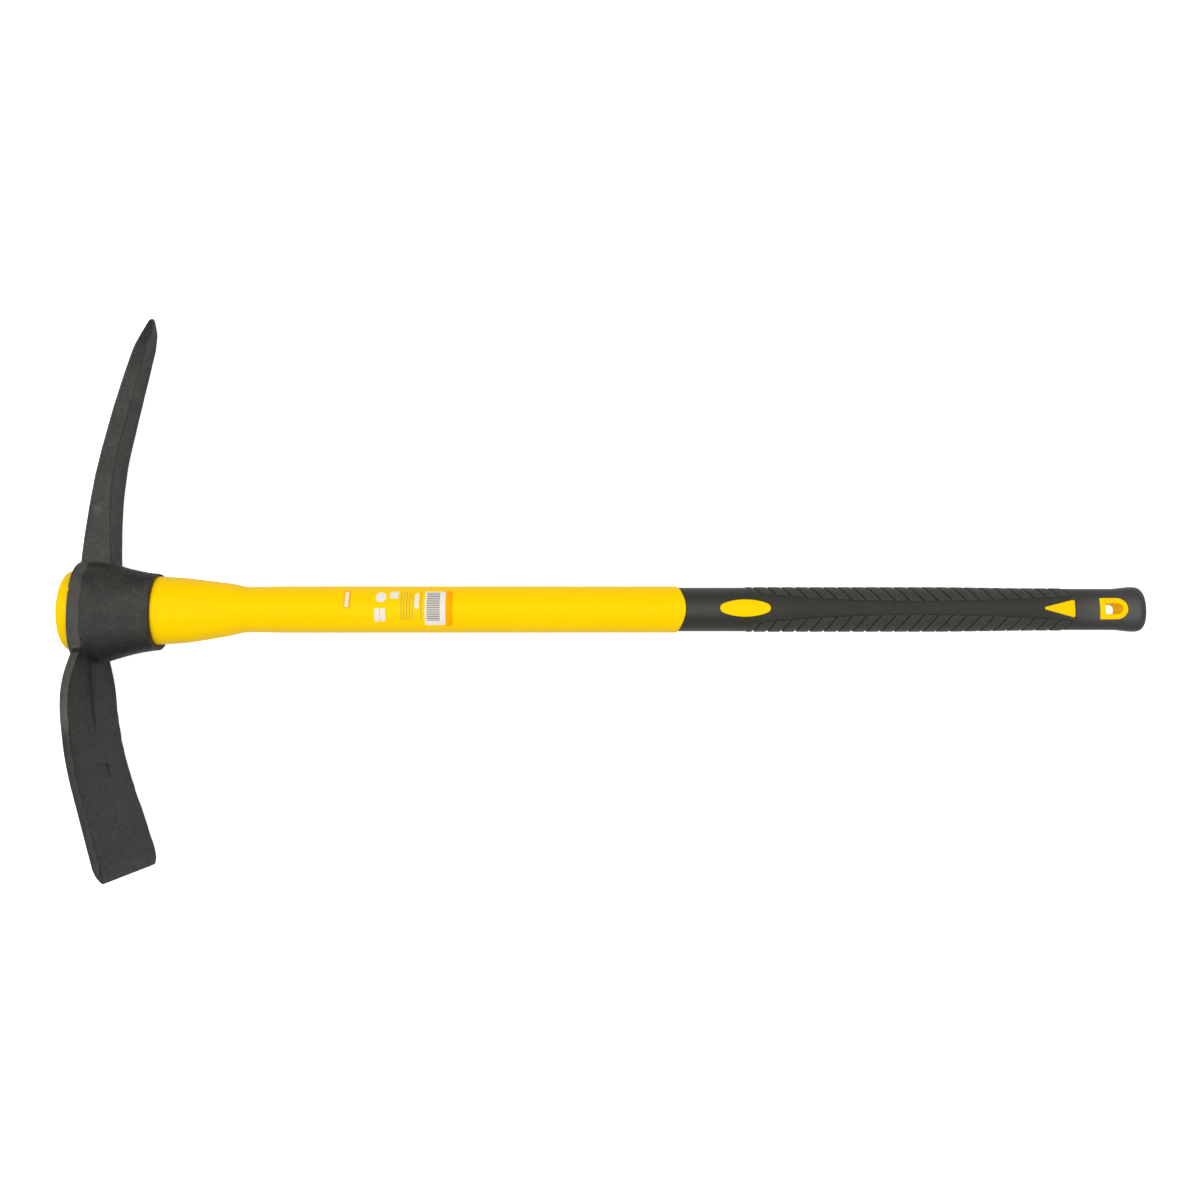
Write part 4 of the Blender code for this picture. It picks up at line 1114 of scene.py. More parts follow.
def adze_rings(trim, seed=7):
    """Curved blade with its rib, both bevels and trimmed flash along its sides."""
    chance = np.random.default_rng(seed)
    bevel_start = ADZE_REACH - BEVEL_LENGTH
    corner_start = ADZE_REACH - ADZE_CORNER_LENGTH
    reach = np.concatenate([
        steps(ADZE_START, bevel_start, 1.5 * MM), steps(bevel_start, corner_start, 1.2 * MM)[1:],
        steps(corner_start, ADZE_REACH, 0.8 * MM)[1:]])
    # Thickness and curve, with the bevels at the cutting edge
    share = (reach - ADZE_ROOT) / (ADZE_REACH - ADZE_ROOT)
    thickness = blend(ADZE_ROOT_THICKNESS, ADZE_EDGE_THICKNESS, share)
    surface = blade_back(reach)
    middle = surface - thickness / 2
    bevel = np.maximum(reach - bevel_start, 0.0) / BEVEL_LENGTH
    thickness = blend(thickness, BEVEL_EDGE, bevel)
    front, back = middle - thickness / 2, middle + thickness / 2
    # Width: a curve out to the shoulder, then straight to the edge, with rounded corners
    shoulder = (reach - ADZE_ROOT) / (ADZE_SHOULDER - ADZE_ROOT)
    flare = (reach - ADZE_SHOULDER) / (ADZE_REACH - ADZE_SHOULDER)
    half = np.where(
        reach < ADZE_SHOULDER,
        blend(ADZE_SHOULDER_WIDTH, ADZE_ROOT_WIDTH, (1.0 - shoulder) ** 2),
        blend(ADZE_SHOULDER_WIDTH, ADZE_EDGE_WIDTH, flare)) / 2
    corner = np.maximum(reach - corner_start, 0.0) / ADZE_CORNER_LENGTH
    half = half - ADZE_CORNER_WIDTH * corner ** 1.7
    # Rib that sinks into the inner face
    rib_share = np.clip((reach - ADZE_ROOT) / (RIB_END - ADZE_ROOT), 0.0, 1.0)
    rib_half = np.maximum(blend(RIB_WIDTH, RIB_TIP, rib_share) / 2, 0.9 * MM)
    rib_height = np.where(reach < RIB_END, blend(RIB_HEIGHT, 0.0, rib_share), 0.0)
    inner = np.array([0.0, 0.3, 0.46, 0.56, 0.78, 0.97, 1.08, 1.35, 1.75])
    raised = np.array([1.0, 1.0, 0.98, 0.86, 0.40, 0.05, 0.0, 0.0, 0.0])
    outer = np.linspace(0.0, 1.0, 17)[1:]

    def jagged():
        """Ragged depth of the trimmed edge along one side."""
        knots = np.cumsum(chance.uniform(2.0, 7.0, 60)) * MM + ADZE_START
        depths = chance.uniform(0.0, 1.0, 60) ** 2
        edge = np.interp(reach, knots, depths)
        return ADZE_CHAMFER * 0.6 + trim * edge * smooth(reach, 0.06, 0.08) * (1.0 - bevel)

    def columns(cut):
        """Distances from the middle of the blade out to its cut edge."""
        centre = rib_half[:, None] * inner
        edge = centre[:, -1:]
        return np.concatenate([centre, edge + (half - cut - edge[:, 0])[:, None] * outer], 1)

    # Chamfers: ragged on the inner face, even on the outer one
    limit = thickness / 4
    cuts = {(side, face): np.minimum(jagged() if face == 'back' else ADZE_CHAMFER, limit)
            for side in (1, -1) for face in ('back', 'front')}
    rise = rib_height[:, None] * np.concatenate([raised, np.zeros(16)])
    backs, fronts, sides = {}, {}, {}
    for side in (1, -1):
        z = columns(cuts[side, 'back'])
        backs[side] = np.stack([back[:, None] + rise, side * z], -1)
        z = columns(cuts[side, 'front'])
        fronts[side] = np.stack([np.broadcast_to(front[:, None], z.shape), side * z], -1)
        b, f = cuts[side, 'back'], cuts[side, 'front']
        flash = np.minimum(0.35 * MM * (1.0 - bevel), thickness / 6)
        rows = [(back - b * 0.3, half - b * 0.3), (back - b, half),
                (middle + thickness * 0.12, half), (middle + thickness * 0.04, half + flash),
                (middle - thickness * 0.04, half + flash), (middle - thickness * 0.12, half),
                (front + f, half), (front + f * 0.3, half - f * 0.3)]
        sides[side] = np.stack([np.stack([x, side * z], 1) for x, z in rows], 1)
    section = np.concatenate([
        backs[-1][:, :0:-1], backs[1], sides[1], fronts[1][:, ::-1], fronts[-1][:, 1:],
        sides[-1][:, ::-1]], 1)
    along = np.broadcast_to(-reach[:, None], section.shape[:2])
    return np.stack([HEAD_START + section[..., 0], along, section[..., 1]], -1)


def stamp_rings():
    """Shallow blank recess on the blade's inner face, as a thin body to cut with."""
    turns = full_turn(64)
    along = STAMP_HALF_LENGTH * signed_power(np.cos(turns), 0.28)
    across = STAMP_HALF_WIDTH * signed_power(np.sin(turns), 0.28)
    surface = blade_back(STAMP_REACH + along)
    rings = []
    for lift, shrink in ((-STAMP_DEPTH, 0.98), (1.5 * MM, 1.04)):
        rings.append(np.stack([
            HEAD_START + surface + lift, -(STAMP_REACH + along * shrink), across * shrink], 1))
    return rings


def head_mesh(settings):
    """The forging: eye, pick and blade joined, softened, pressed, and then cut."""
    # The land and the blade's sides get the second material and the pick's flat sides the third:
    # lighter copies of the lacquer, as painted light
    rings = np.array(eye_rings())
    on_land = rings[1:, :, 0].mean(1) < HEAD_START + LAND_WIDTH + 0.3 * MM
    eye = mark_faces(closed_body('eye', rings), np.repeat(on_land[:, None], rings.shape[1], 1))

    rings = pick_rings()
    on_flat = np.abs(rings[..., 2]) > np.abs(rings[..., 2]).max(1, keepdims=True) - 0.35 * MM
    on_flat &= np.roll(on_flat, -1, 1)
    pick = mark_faces(closed_body('pick', rings), 2 * on_flat[:-1])

    rings = adze_rings(settings.flash_depth)
    half = np.abs(rings[..., 2]).max(1, keepdims=True)
    on_side = np.abs(rings[..., 2]) > half - 1.2 * MM
    on_side = on_side & np.roll(on_side, -1, 1)
    on_side &= np.abs(np.roll(rings[..., 0], -1, 1) - rings[..., 0]) > 0.05 * MM
    past_eye = rings[:-1, :, 1] < -TRIM_START
    adze = mark_faces(closed_body('adze', rings), on_side[:-1] & past_eye)

    originals = np.vstack([points_of(eye), points_of(pick), points_of(adze)])
    mesh = combine(eye, 'UNION', pick, adze)
    soften_seams(mesh, originals, settings.fillet, 10)
    roughen(mesh, settings.unevenness, settings.unevenness * 0.35, 3.1)
    press(mesh, [
        ((HEAD_START + x * MM, y * MM, z * MM), radius * MM, depth * MM)
        for x, y, z, radius, depth in PRESS_MARKS
    ])
    mesh = combine(mesh, 'DIFFERENCE', closed_body('hole', eye_hole_rings()))
    return combine(mesh, 'DIFFERENCE', closed_body('stamp', stamp_rings()))


# ---------------------------------------------------------------- handle

def ridge_turns(count):
    """Turns round an oval, with close ones at its two sides for the parting line."""
    quarter = np.concatenate([[0.0, 1.2, 3.0], np.linspace(8.0, 90.0, count)])
    half = np.concatenate([quarter, 180.0 - quarter[-2::-1]])
    return np.radians(np.concatenate([half, 360.0 - half[-2:0:-1]]))


def arc_points(centre, radius, start, end, count):
    """Points along an arc between two turns, with both its ends."""
    turns = np.linspace(start, end, count + 1)
    return np.stack([centre[0] + radius * np.cos(turns), centre[1] + radius * np.sin(turns)], 1)


def lens_outline(grow=0.0):
    """Long lens with blunt round ends."""
    turns = full_turn(96)
    along = signed_power(np.cos(turns), 0.9)
    half = (1.0 - LENS_END * along ** 2) * np.sqrt(np.maximum(1.0 - np.abs(along) ** 20, 0.0))
    points = np.stack([along * LENS_LENGTH / 2, np.sign(np.sin(turns)) * half * LENS_WIDTH / 2], 1)
    points[:, 0] += GRIP_FRONT + LENS_FROM_FRONT
    return even_outline(points, 88, grow)


def even_outline(points, count, grow=0.0):
    """The outline with evenly spaced points, pushed outwards by grow."""
    closed = np.vstack([points, points[:1]])
    length = np.concatenate([[0.0], np.cumsum(np.linalg.norm(np.diff(closed, axis=0), axis=1))])
    even = np.linspace(0.0, length[-1], count + 1)[:-1]
    points = np.stack([np.interp(even, length, closed[:, k]) for k in range(2)], 1)
    ahead = np.roll(points, -1, 0) - np.roll(points, 1, 0)
    outwards = np.stack([ahead[:, 1], -ahead[:, 0]], 1)
    outwards /= np.linalg.norm(outwards, axis=1)[:, None]
    return points + outwards * grow


def arrow_outline(grow=0.0):
    """Triangle with round corners that points at the head."""
    radius = ARROW_ROUND + grow
    tip = ARROW_BASE - ARROW_LENGTH + ARROW_ROUND
    base = ARROW_BASE - ARROW_ROUND
    side = ARROW_WIDTH / 2 - ARROW_ROUND
    slant = asin(side / sqrt((base - tip) ** 2 + side ** 2))
    points = np.vstack([
        arc_points((base, side), radius, 0.0, pi / 2 + slant, 14),
        arc_points((tip, 0.0), radius, pi / 2 + slant, 3 * pi / 2 - slant, 14),
        arc_points((base, -side), radius, 3 * pi / 2 - slant, 2 * pi, 14)])
    return even_outline(points, 72)


def d_outline(front, length, width, corner, grow=0.0):
    """Letter-D outline: square corners at its front, a half circle towards the butt."""
    half = width / 2 + grow
    radius = corner + grow
    middle = front + length - width / 2
    left = front + corner
    beside = width / 2 - corner
    turns = 10
    top_side = np.linspace(middle, left, 8)[1:-1]
    front_side = np.linspace(beside, -beside, 9)[1:-1]
    parts = [
        arc_points((middle, 0.0), half, -pi / 2, pi / 2, 28),
        np.stack([top_side, np.full(6, half)], 1),
        arc_points((left, beside), radius, pi / 2, pi, turns),
        np.stack([np.full(7, left - radius), front_side], 1),
        arc_points((left, -beside), radius, pi, 3 * pi / 2, turns),
        np.stack([top_side[::-1], np.full(6, -half)], 1),
    ]
    return np.vstack(parts)


def ring_outline(grow=0.0):
    return d_outline(RING_FRONT, RING_LENGTH, RING_WIDTH, RING_CORNER, grow)


def hole_outline(grow=0.0):
    return d_outline(RING_FRONT + HOLE_FROM_RING_EDGE, HOLE_LENGTH, HOLE_WIDTH, HOLE_CORNER, grow)


def on_skin(outline, lift):
    """An outline laid on the grip's skin and lifted from it."""
    height = grip_height(outline[:, 0], outline[:, 1]) + lift
    return np.column_stack([outline, height])


def lip_levels(lip):
    """Steps of a soft upper edge: how far in, and how far down."""
    return [(lip * (1 - cos(a)), -lip * (1 - sin(a))) for a in QUARTER]


def inset_rings(outline, lip, proud, side):
    """Closed body of one inset: sunk wall, soft edge and a top that follows the skin."""
    edge = outline(0.0)
    rings = [on_skin(edge, -GRIP_WALL - 1.0 * MM), on_skin(edge, -GRIP_WALL / 2)]
    rings += [on_skin(outline(-inwards), proud + down) for inwards, down in lip_levels(lip)]
    top = outline(-lip)
    middle = top.mean(0)
    for share in (0.86, 0.66, 0.44, 0.22):
        rings.append(on_skin(middle + (top - middle) * share, proud))
    return np.array(rings) * (1.0, 1.0, side)


def ring_rings(lip, mouth, proud):
    """Ring inset right through the handle, with the flared hang hole in it."""
    upper = [on_skin(ring_outline(-inwards), proud + down) for inwards, down in lip_levels(lip)]
    outer, inner = ring_outline(-lip), hole_outline(HOLE_FLARE + mouth)
    upper += [on_skin(blend(outer, inner, share), proud) for share in (0.2, 0.4, 0.6, 0.8)]
    upper += [on_skin(hole_outline(HOLE_FLARE + mouth * (1 - sin(a))), proud - mouth * (1 - cos(a)))
              for a in QUARTER]
    mouth_height = grip_height(RING_FRONT + RING_LENGTH / 2, 0.0) - mouth
    for share in (0.85, 0.65, 0.45, 0.25, 0.1):
        outline = hole_outline(HOLE_FLARE * share ** 1.4)
        upper.append(np.column_stack([outline, np.full(len(outline), mouth_height * share)]))
    upper = np.array(upper)
    middle = hole_outline(0.0)
    middle = np.column_stack([middle, np.zeros(len(middle))])[None]
    lower = upper[::-1] * (1.0, 1.0, -1.0)
    return np.concatenate([upper, middle, lower])


def prism_rings(outline, half_height):
    """The outline straight down and up, as a body to cut with."""
    return [np.column_stack([outline, np.full(len(outline), z)])
            for z in (-half_height, half_height)]


def handle_rings(ridge):
    """Bore, soft mouth, domed end, swell, shaft and the thinner part under the grip."""
    turns = ridge_turns(20)
    on_ridge = np.isclose(np.abs(np.cos(turns)), 1.0)
    radius = CORE_DIAMETER / 2 + FIT
    mouth = 0.6 * MM
    bore_end = RING_FRONT - CORE_TO_RING + FIT
    circle = np.stack([np.cos(turns), np.sin(turns)], 1)
    rings = []
    # Bore for the rod, out to a soft mouth
    for x, r in [(bore_end, radius), (0.3, radius), (0.03, radius)] + [
            (mouth * (1 - sin(a)), radius + mouth * (1 - cos(a))) for a in QUARTER]:
        rings.append(np.column_stack([np.full(len(turns), x), circle * r]))
    # Domed end
    half = handle_half(DOME_DEPTH)
    for turn in np.linspace(0.0, pi / 2, 13)[:-1]:
        size = DOME_FLAT + (1 - DOME_FLAT) * sin(turn)
        rings.append(oval(DOME_DEPTH * (1 - cos(turn)), (half[0] * size, half[1] * size), turns))
    # Each section is a mean of those close by, so that the swell's parts run together
    softness = np.linspace(-3.0, 3.0, 7) * MM
    for x in np.concatenate([steps(DOME_DEPTH, SWELL_NECK - 6 * MM, 6 * MM),
                             steps(SWELL_NECK - 4 * MM, SHAFT_FULL, 1.5 * MM)]):
        half = np.mean([handle_half(x + d) for d in softness * smooth(x, 0.090, 0.096)], axis=0)
        rings.append(oval(x, half, turns, ridge * on_ridge * smooth(x, 0.006, 0.012)))
    # Shaft, with a bulged shoulder before the grip
    shoulder, edge = GRIP_FRONT - FIT, 0.5 * MM
    for x in steps(SHAFT_FULL, shoulder - 16 * MM, 10 * MM)[1:]:
        rings.append(oval(x, handle_half(x), turns, ridge * on_ridge))
    for back in (9 * MM, 3 * MM, 1.2 * MM):
        share = 1 - back / (16 * MM)
        rings.append(oval(shoulder - back, handle_half(shoulder), turns, ridge * on_ridge,
                          GRIP_FRONT_BULGE * share))
    for a in QUARTER:
        rings.append(oval(shoulder - edge * (1 - sin(a)), handle_half(shoulder), turns,
                          -edge * (1 - cos(a)), GRIP_FRONT_BULGE))
    # Thinner part under the grip
    rings.append(oval(shoulder, under_grip_half(shoulder), turns, 0.0, GRIP_FRONT_BULGE))
    for x in np.append(grip_stations(), JACKET_END):
        rings.append(oval(x, under_grip_half(x), turns))
    return rings


def jacket_mesh(settings):
    """The moulding: the handle's form, cut by the hang hole, with its insets put on."""
    mesh = closed_body('jacket', handle_rings(settings.parting_ridge))
    # A wider hole is cut, and the ring inset lines it
    cutter = prism_rings(hole_outline(HOLE_FLARE + 0.6 * MM), GRIP_THICKNESS)
    mesh = combine(mesh, 'DIFFERENCE', closed_body('hole', cutter))
    proud, lip = settings.inset_proud, settings.inset_edge
    bodies = [(ring_rings(lip, 0.5 * MM, proud), True)]
    for outline in (lens_outline, arrow_outline):
        for side in (1, -1):
            bodies.append((inset_rings(outline, lip, proud, side), False))
    return mark_hole_wall(combine(mesh, 'UNION', tubes('insets', bodies)))


def mark_hole_wall(mesh):
    """Give the wall of the hang hole the second material."""
    x, y, _ = vectors_of(mesh.polygons, 'center').T
    upright = np.abs(vectors_of(mesh.polygons, 'normal')[:, 2]) < 0.5
    start, margin = RING_FRONT + HOLE_FROM_RING_EDGE, 0.7 * MM
    inside = (x > start - margin) & (x < start + HOLE_LENGTH + margin)
    inside &= (np.abs(y) < HOLE_WIDTH / 2 + margin) & upright
    return mark_faces(mesh, inside)


# ---------------------------------------------------------------- grip

def tread_rows():
    """Rows along the grip's outside: place, groove depth and tread height, each 0 to 1."""
    pad_end, groove_end = 5.4 * MM, 1.12 * GROOVE_HALF
    rows = [(u, 0.0, 0.0) for u in steps(
        GRIP_FRONT + 0.8 * MM, TREAD_START - pad_end - 0.4 * MM, 3 * MM)]
    rows += [(TREAD_START - pad_end, 0.0, 0.9), (TREAD_START - pad_end + 0.4 * MM, 0.0, 1.0),
             (TREAD_START - 2.8 * MM, 0.0, 1.0)]
    groove = [(-1.5, 0.0), (-1.12, GROOVE_EDGE), (-0.85, 0.70), (-0.55, 1.0), (0.0, 1.0),
              (0.55, 1.0), (0.85, 0.70), (1.12, GROOVE_EDGE), (1.5, 0.0)]
    for k in range(TREAD_ROWS):
        middle = TREAD_START + k * TREAD_PITCH
        rows += [(middle + at * GROOVE_HALF, depth, 1.0) for at, depth in groove]
        if k < TREAD_ROWS - 1:
            between = np.linspace(middle + 1.5 * GROOVE_HALF,
                                  middle + TREAD_PITCH - 1.5 * GROOVE_HALF, 6)
            rows += [(u, 0.0, 1.0) for u in between[1:-1]]
    # The last groove runs out into the smooth rubber
    rows[-2:] = [(TREAD_END + groove_end, GROOVE_EDGE, 0.0)]
    rows += [(u, 0.0, 0.0) for u in steps(
        TREAD_END + 2 * groove_end, HANDLE_LENGTH - BUTT_ROUND, 2.4 * MM)]
    return np.array(rows).T


def sleeve_mesh(settings, seed=11):
    """Sleeve whose rows follow the slanting grooves and whose columns follow the band."""
    chance = np.random.default_rng(seed)
    u, groove, tread = tread_rows()
    side_share = np.concatenate([[0.0, 0.018, 0.045], np.linspace(0.10, 1.0, 14)])
    band_share = np.append([0.0, 0.05], np.linspace(0.11, 1.0, 8))
    share = np.concatenate([side_share, band_share])
    order = np.arange(len(share))
    quadrants = [order, order[-2::-1], order[1:], order[-2:0:-1]]
    signs = [(1, 1), (-1, 1), (-1, -1), (1, -1)]
    column = np.concatenate(quadrants)
    sign_y, sign_z = (
        np.concatenate([np.full(len(q), sign[k]) for q, sign in zip(quadrants, signs)])
        for k in range(2))
    on_tread = column < len(side_share)

    outer = GRIP_WIDTH / 2
    slant = smooth(u, GRIP_FRONT + 4 * MM, TREAD_START - 6 * MM) * (
        1.0 - smooth(u, TREAD_END + 3 * MM, HANDLE_LENGTH - BUTT_ROUND - 1 * MM)) / tan(TREAD_ANGLE)
    bulge = GRIP_FRONT_BULGE * (1.0 - smooth(u, GRIP_FRONT, GRIP_FRONT + 20 * MM))
    edge = 0.35 * MM
    # A point's place along the grip sets the width there, and the width moves the point
    x = np.repeat(u[:, None], len(column), 1)
    for _ in range(6):
        width, thickness = grip_half(x)
        band = np.minimum(band_half(x), 0.92 * width)
        tread_turn = np.arccos(np.minimum((band + edge) / width, 0.97))
        band_turn = np.arccos(np.minimum(band / width, 0.955))
        turn = np.where(on_tread, share[column] * tread_turn,
                        band_turn + share[column] * (pi / 2 - band_turn))
        y = width * np.cos(turn)
        x = u[:, None] + slant[:, None] * (outer - y) + bulge[:, None] * np.sin(turn) ** 2

    # Relief: crowned pads and grooves, the parting seam, and a line beside the smooth band
    pad = np.mod((u - TREAD_START) / TREAD_PITCH, 1.0)
    crown = tread * (1.0 - (2.0 * pad - 1.0) ** 2) * PAD_CROWN
    lift = tread * settings.tread_height + crown - groove * settings.groove_depth
    lift = lift[:, None] * on_tread
    seam = (column == 0) & (np.abs(turn[0]) < 1e-6)
    lift = lift + SEAM_HEIGHT * seam
    band_edge = column == len(side_share)
    lift = lift - tread[:, None] * band_edge * settings.edge_depth
    # Nubs of rubber beside the grooves, at the parting line on the blade's side
    nub = np.isclose(groove, GROOVE_EDGE)[:, None] & (column < 2)[None] & (sign_y < 0)[None]
    lift = lift + nub * (chance.uniform(0.0, 1.0, len(u)) ** 3 * NUB_HEIGHT)[:, None]
    outside = np.stack([x, sign_y * (width + lift) * np.cos(turn),
                        sign_z * (thickness + lift) * np.sin(turn)], -1)

    # Inside, from its closed end out to the lip at the front
    turns = np.arctan2(sign_z * np.sin(turn[0]), sign_y * np.cos(turn[0]))
    inside = [oval(at, under_grip_half(at), turns, FIT)
              for at in (JACKET_END + FIT, *grip_stations()[::-1])]
    inside.append(oval(GRIP_FRONT, under_grip_half(GRIP_FRONT), turns, FIT, GRIP_FRONT_BULGE))
    lip = 0.45 * MM
    for a in QUARTER:
        inside.append(oval(GRIP_FRONT + lip * (1 - cos(a)), grip_half(GRIP_FRONT), turns,
                           -lip * (1 - sin(a)), GRIP_FRONT_BULGE))
    # Butt, rounded down to a small flat
    round_start = HANDLE_LENGTH - BUTT_ROUND
    half = grip_half(round_start)
    turns = np.arctan2(sign_z * np.sin(turn[-1]), sign_y * np.cos(turn[-1]))
    butt = []
    for a in np.linspace(0.0, pi / 2, 13)[1:]:
        inset = 1 - cos(a)
        butt.append(oval(round_start + BUTT_ROUND * sin(a),
                         (half[0] - BUTT_ROUND * inset, half[1] - BUTT_ROUND_FLAT * inset), turns))
    mesh = closed_body('grip', np.concatenate([np.array(inside), outside, np.array(butt)]))

    # The tread has the second material, and the floors of its grooves have the third, which is
    # darker: painted shade in the grooves
    pad_rows = (tread[:-1] > 0) & (tread[1:] > 0)
    pad_columns = on_tread & np.roll(on_tread, -1)
    floor = (groove[:-1] > 0.5) & (groove[1:] > 0.5)
    grained = (pad_rows[:, None] & pad_columns[None]).astype(int) * (1 + floor[:, None])
    grained = np.concatenate([np.zeros((len(inside), len(column)), dtype=int), grained])
    windows = [(prism_rings(outline(WINDOW_GAP), GRIP_THICKNESS), False)
               for outline in (lens_outline, arrow_outline, ring_outline)]
    return combine(mark_faces(mesh, grained), 'DIFFERENCE', tubes('windows', windows))


# ---------------------------------------------------------------- label

def label_mesh(settings):
    """Thin sticker bent over the shaft, with round corners."""
    corner = LABEL_CORNER
    ends = corner * (1 - np.cos(np.linspace(0.0, pi / 2, 7)))
    x = np.concatenate([ends, np.linspace(corner, LABEL_LENGTH - corner, 30)[1:-1],
                        LABEL_LENGTH - ends[::-1]])
    to_end = np.minimum(x, LABEL_LENGTH - x)
    cut = corner - np.sqrt(np.maximum(corner ** 2 - np.maximum(corner - to_end, 0.0) ** 2, 0.0))
    half = LABEL_WIDTH / 2 - cut
    across = np.linspace(-1.0, 1.0, 25)
    y = half[:, None] * across
    width, thickness = (value + LABEL_GAP for value in handle_half(LABEL_START))

    def sheet(lift):
        z = (thickness + lift) * np.sqrt(1.0 - (y / (width + lift)) ** 2)
        return np.stack([np.repeat(LABEL_START + x[:, None], y.shape[1], 1), y, z], -1)

    top, low = sheet(settings.film_thickness), sheet(0.0)
    return closed_body('label', np.concatenate([low, top[:, ::-1]], 1))


# ---------------------------------------------------------------- sizes and colours

class MattockHeadSettings(bpy.types.PropertyGroup):
    """Sizes and colours of the forged head."""
    fillet: FloatProperty(
        name="Fillet reach", description="How far the softened joins of the forging reach",
        default=3.2 * MM, min=0.0, unit='LENGTH', subtype='DISTANCE')
    unevenness: FloatProperty(
        name="Unevenness", description="Height of the forging's long waves",
        default=0.16 * MM, min=0.0, unit='LENGTH', subtype='DISTANCE')
    flash_depth: FloatProperty(
        name="Flash depth", description="Depth of the ragged trimmed edge on the blade",
        default=1.5 * MM, min=0.0, unit='LENGTH', subtype='DISTANCE')
    roughness: FloatProperty(
        name="Roughness", description="Roughness of the lacquer", default=0.5, min=0.1, max=0.9,
        subtype='FACTOR')
    # Painted light: the trimmed land and the blade's sides are drawn this much lighter; on the land
    # it goes with a trimmed finish
    trim_painted_light: FloatProperty(
        name="Trimmed tint", description="How much lighter the trimmed land and blade sides are",
        default=3.1, min=0.0)
    # Painted light: the pick's flat sides are drawn this much lighter
    flat_painted_light: FloatProperty(
        name="Flat tint", description="How much lighter the flat sides of the pick are",
        default=1.75, min=0.0)
    steel_colour: FloatVectorProperty(
        name="Lacquer colour", description="Mean colour of the lacquered forging",
        default=(0.0215, 0.0213, 0.0185), size=3, min=0.0, max=1.0, subtype='COLOR')


class MattockHandleSettings(bpy.types.PropertyGroup):
    """Sizes and colours of the moulded handle."""
    parting_ridge: FloatProperty(
        name="Parting ridge", description="Height of the mould line along both sides",
        default=0.12 * MM, min=0.0, unit='LENGTH', subtype='DISTANCE')
    inset_proud: FloatProperty(
        name="Inset height", description="How far the insets stand out of the grip",
        default=0.15 * MM, min=0.0, unit='LENGTH', subtype='DISTANCE')
    inset_edge: FloatProperty(
        name="Inset edge", description="Radius of the insets' upper edge",
        default=0.40 * MM, min=0.0, unit='LENGTH', subtype='DISTANCE')
    yellow_colour: FloatVectorProperty(
        name="Yellow", description="Colour of the moulded plastic",
        default=(0.93, 0.592, 0.0), size=3, min=0.0, max=1.0, subtype='COLOR')


class MattockGripSettings(bpy.types.PropertyGroup):
    """Sizes and colours of the rubber grip."""
    tread_height: FloatProperty(
        name="Tread height", description="How far the tread stands above the smooth band",
        default=0.35 * MM, min=0.0, unit='LENGTH', subtype='DISTANCE')
    edge_depth: FloatProperty(
        name="Band edge", description="Depth of the fine line between tread and smooth band",
        default=0.28 * MM, min=0.0, unit='LENGTH', subtype='DISTANCE')
    groove_depth: FloatProperty(
        name="Groove depth", description="Depth of the slanting grooves",
        default=1.25 * MM, min=0.0, unit='LENGTH', subtype='DISTANCE')
    rubber_colour: FloatVectorProperty(
        name="Rubber", description="Colour of the smooth rubber",
        default=(0.0160, 0.0160, 0.0115), size=3, min=0.0, max=1.0, subtype='COLOR')
    tread_colour: FloatVectorProperty(
        name="Tread", description="Colour of the grained tread",
        default=(0.0290, 0.0278, 0.0222), size=3, min=0.0, max=1.0, subtype='COLOR')
    # Colour of the painted sheen towards the butt
    butt_sheen_colour: FloatVectorProperty(
        name="Painted butt sheen", description="Colour of the rubber that is rubbed paler at the butt",
        default=(0.0400, 0.0395, 0.0440), size=3, min=0.0, max=1.0, subtype='COLOR')


class MattockLabelSettings(bpy.types.PropertyGroup):
    """Sizes and colours of the sticker."""
    film_thickness: FloatProperty(
        name="Film thickness", description="Thickness of the sticker",
        default=0.14 * MM, min=0.0, unit='LENGTH', subtype='DISTANCE')
    ground_colour: FloatVectorProperty(
        name="Ground", description="Ground colour of the print",
        default=(0.95, 0.59, 0.0), size=3, min=0.0, max=1.0, subtype='COLOR')
    patch_colour: FloatVectorProperty(
        name="Patches", description="Colour of the pale patches",
        default=(0.74, 0.71, 0.66), size=3, min=0.0, max=1.0, subtype='COLOR')
    bar_colour: FloatVectorProperty(
        name="Bars", description="Colour of the even bars",
        default=(0.11, 0.10, 0.085), size=3, min=0.0, max=1.0, subtype='COLOR')
    strip_colour: FloatVectorProperty(
        name="End strip", description="Colour of the strip at the label's end",
        default=(0.90, 0.36, 0.0), size=3, min=0.0, max=1.0, subtype='COLOR')


class MattockStageSettings(bpy.types.PropertyGroup):
    """Floor, lights and surroundings."""
    floor_colour: FloatVectorProperty(
        name="Floor", description="Colour of the floor",
        default=(0.90, 0.90, 0.90), size=3, min=0.0, max=1.0, subtype='COLOR')
    overhead_power: FloatProperty(
        name="Overhead light", description="Power of the large soft light above",
        default=58.0, min=0.0, unit='POWER', subtype='POWER')
    far_power: FloatProperty(
        name="Far light", description="Power of the light beyond the pick",
        default=3.0, min=0.0, unit='POWER', subtype='POWER')
    near_power: FloatProperty(
        name="Near light", description="Power of the light before the blade",
        default=6.0, min=0.0, unit='POWER', subtype='POWER')
    surround: FloatProperty(
        name="Surround", description="Brightness of the white surroundings",
        default=0.20, min=0.0)
    floor_lift: FloatProperty(
        name="Floor lift", description="Glow that keeps the floor pale in the tool's soft shadow",
        default=0.70, min=0.0)


# ---------------------------------------------------------------- operators

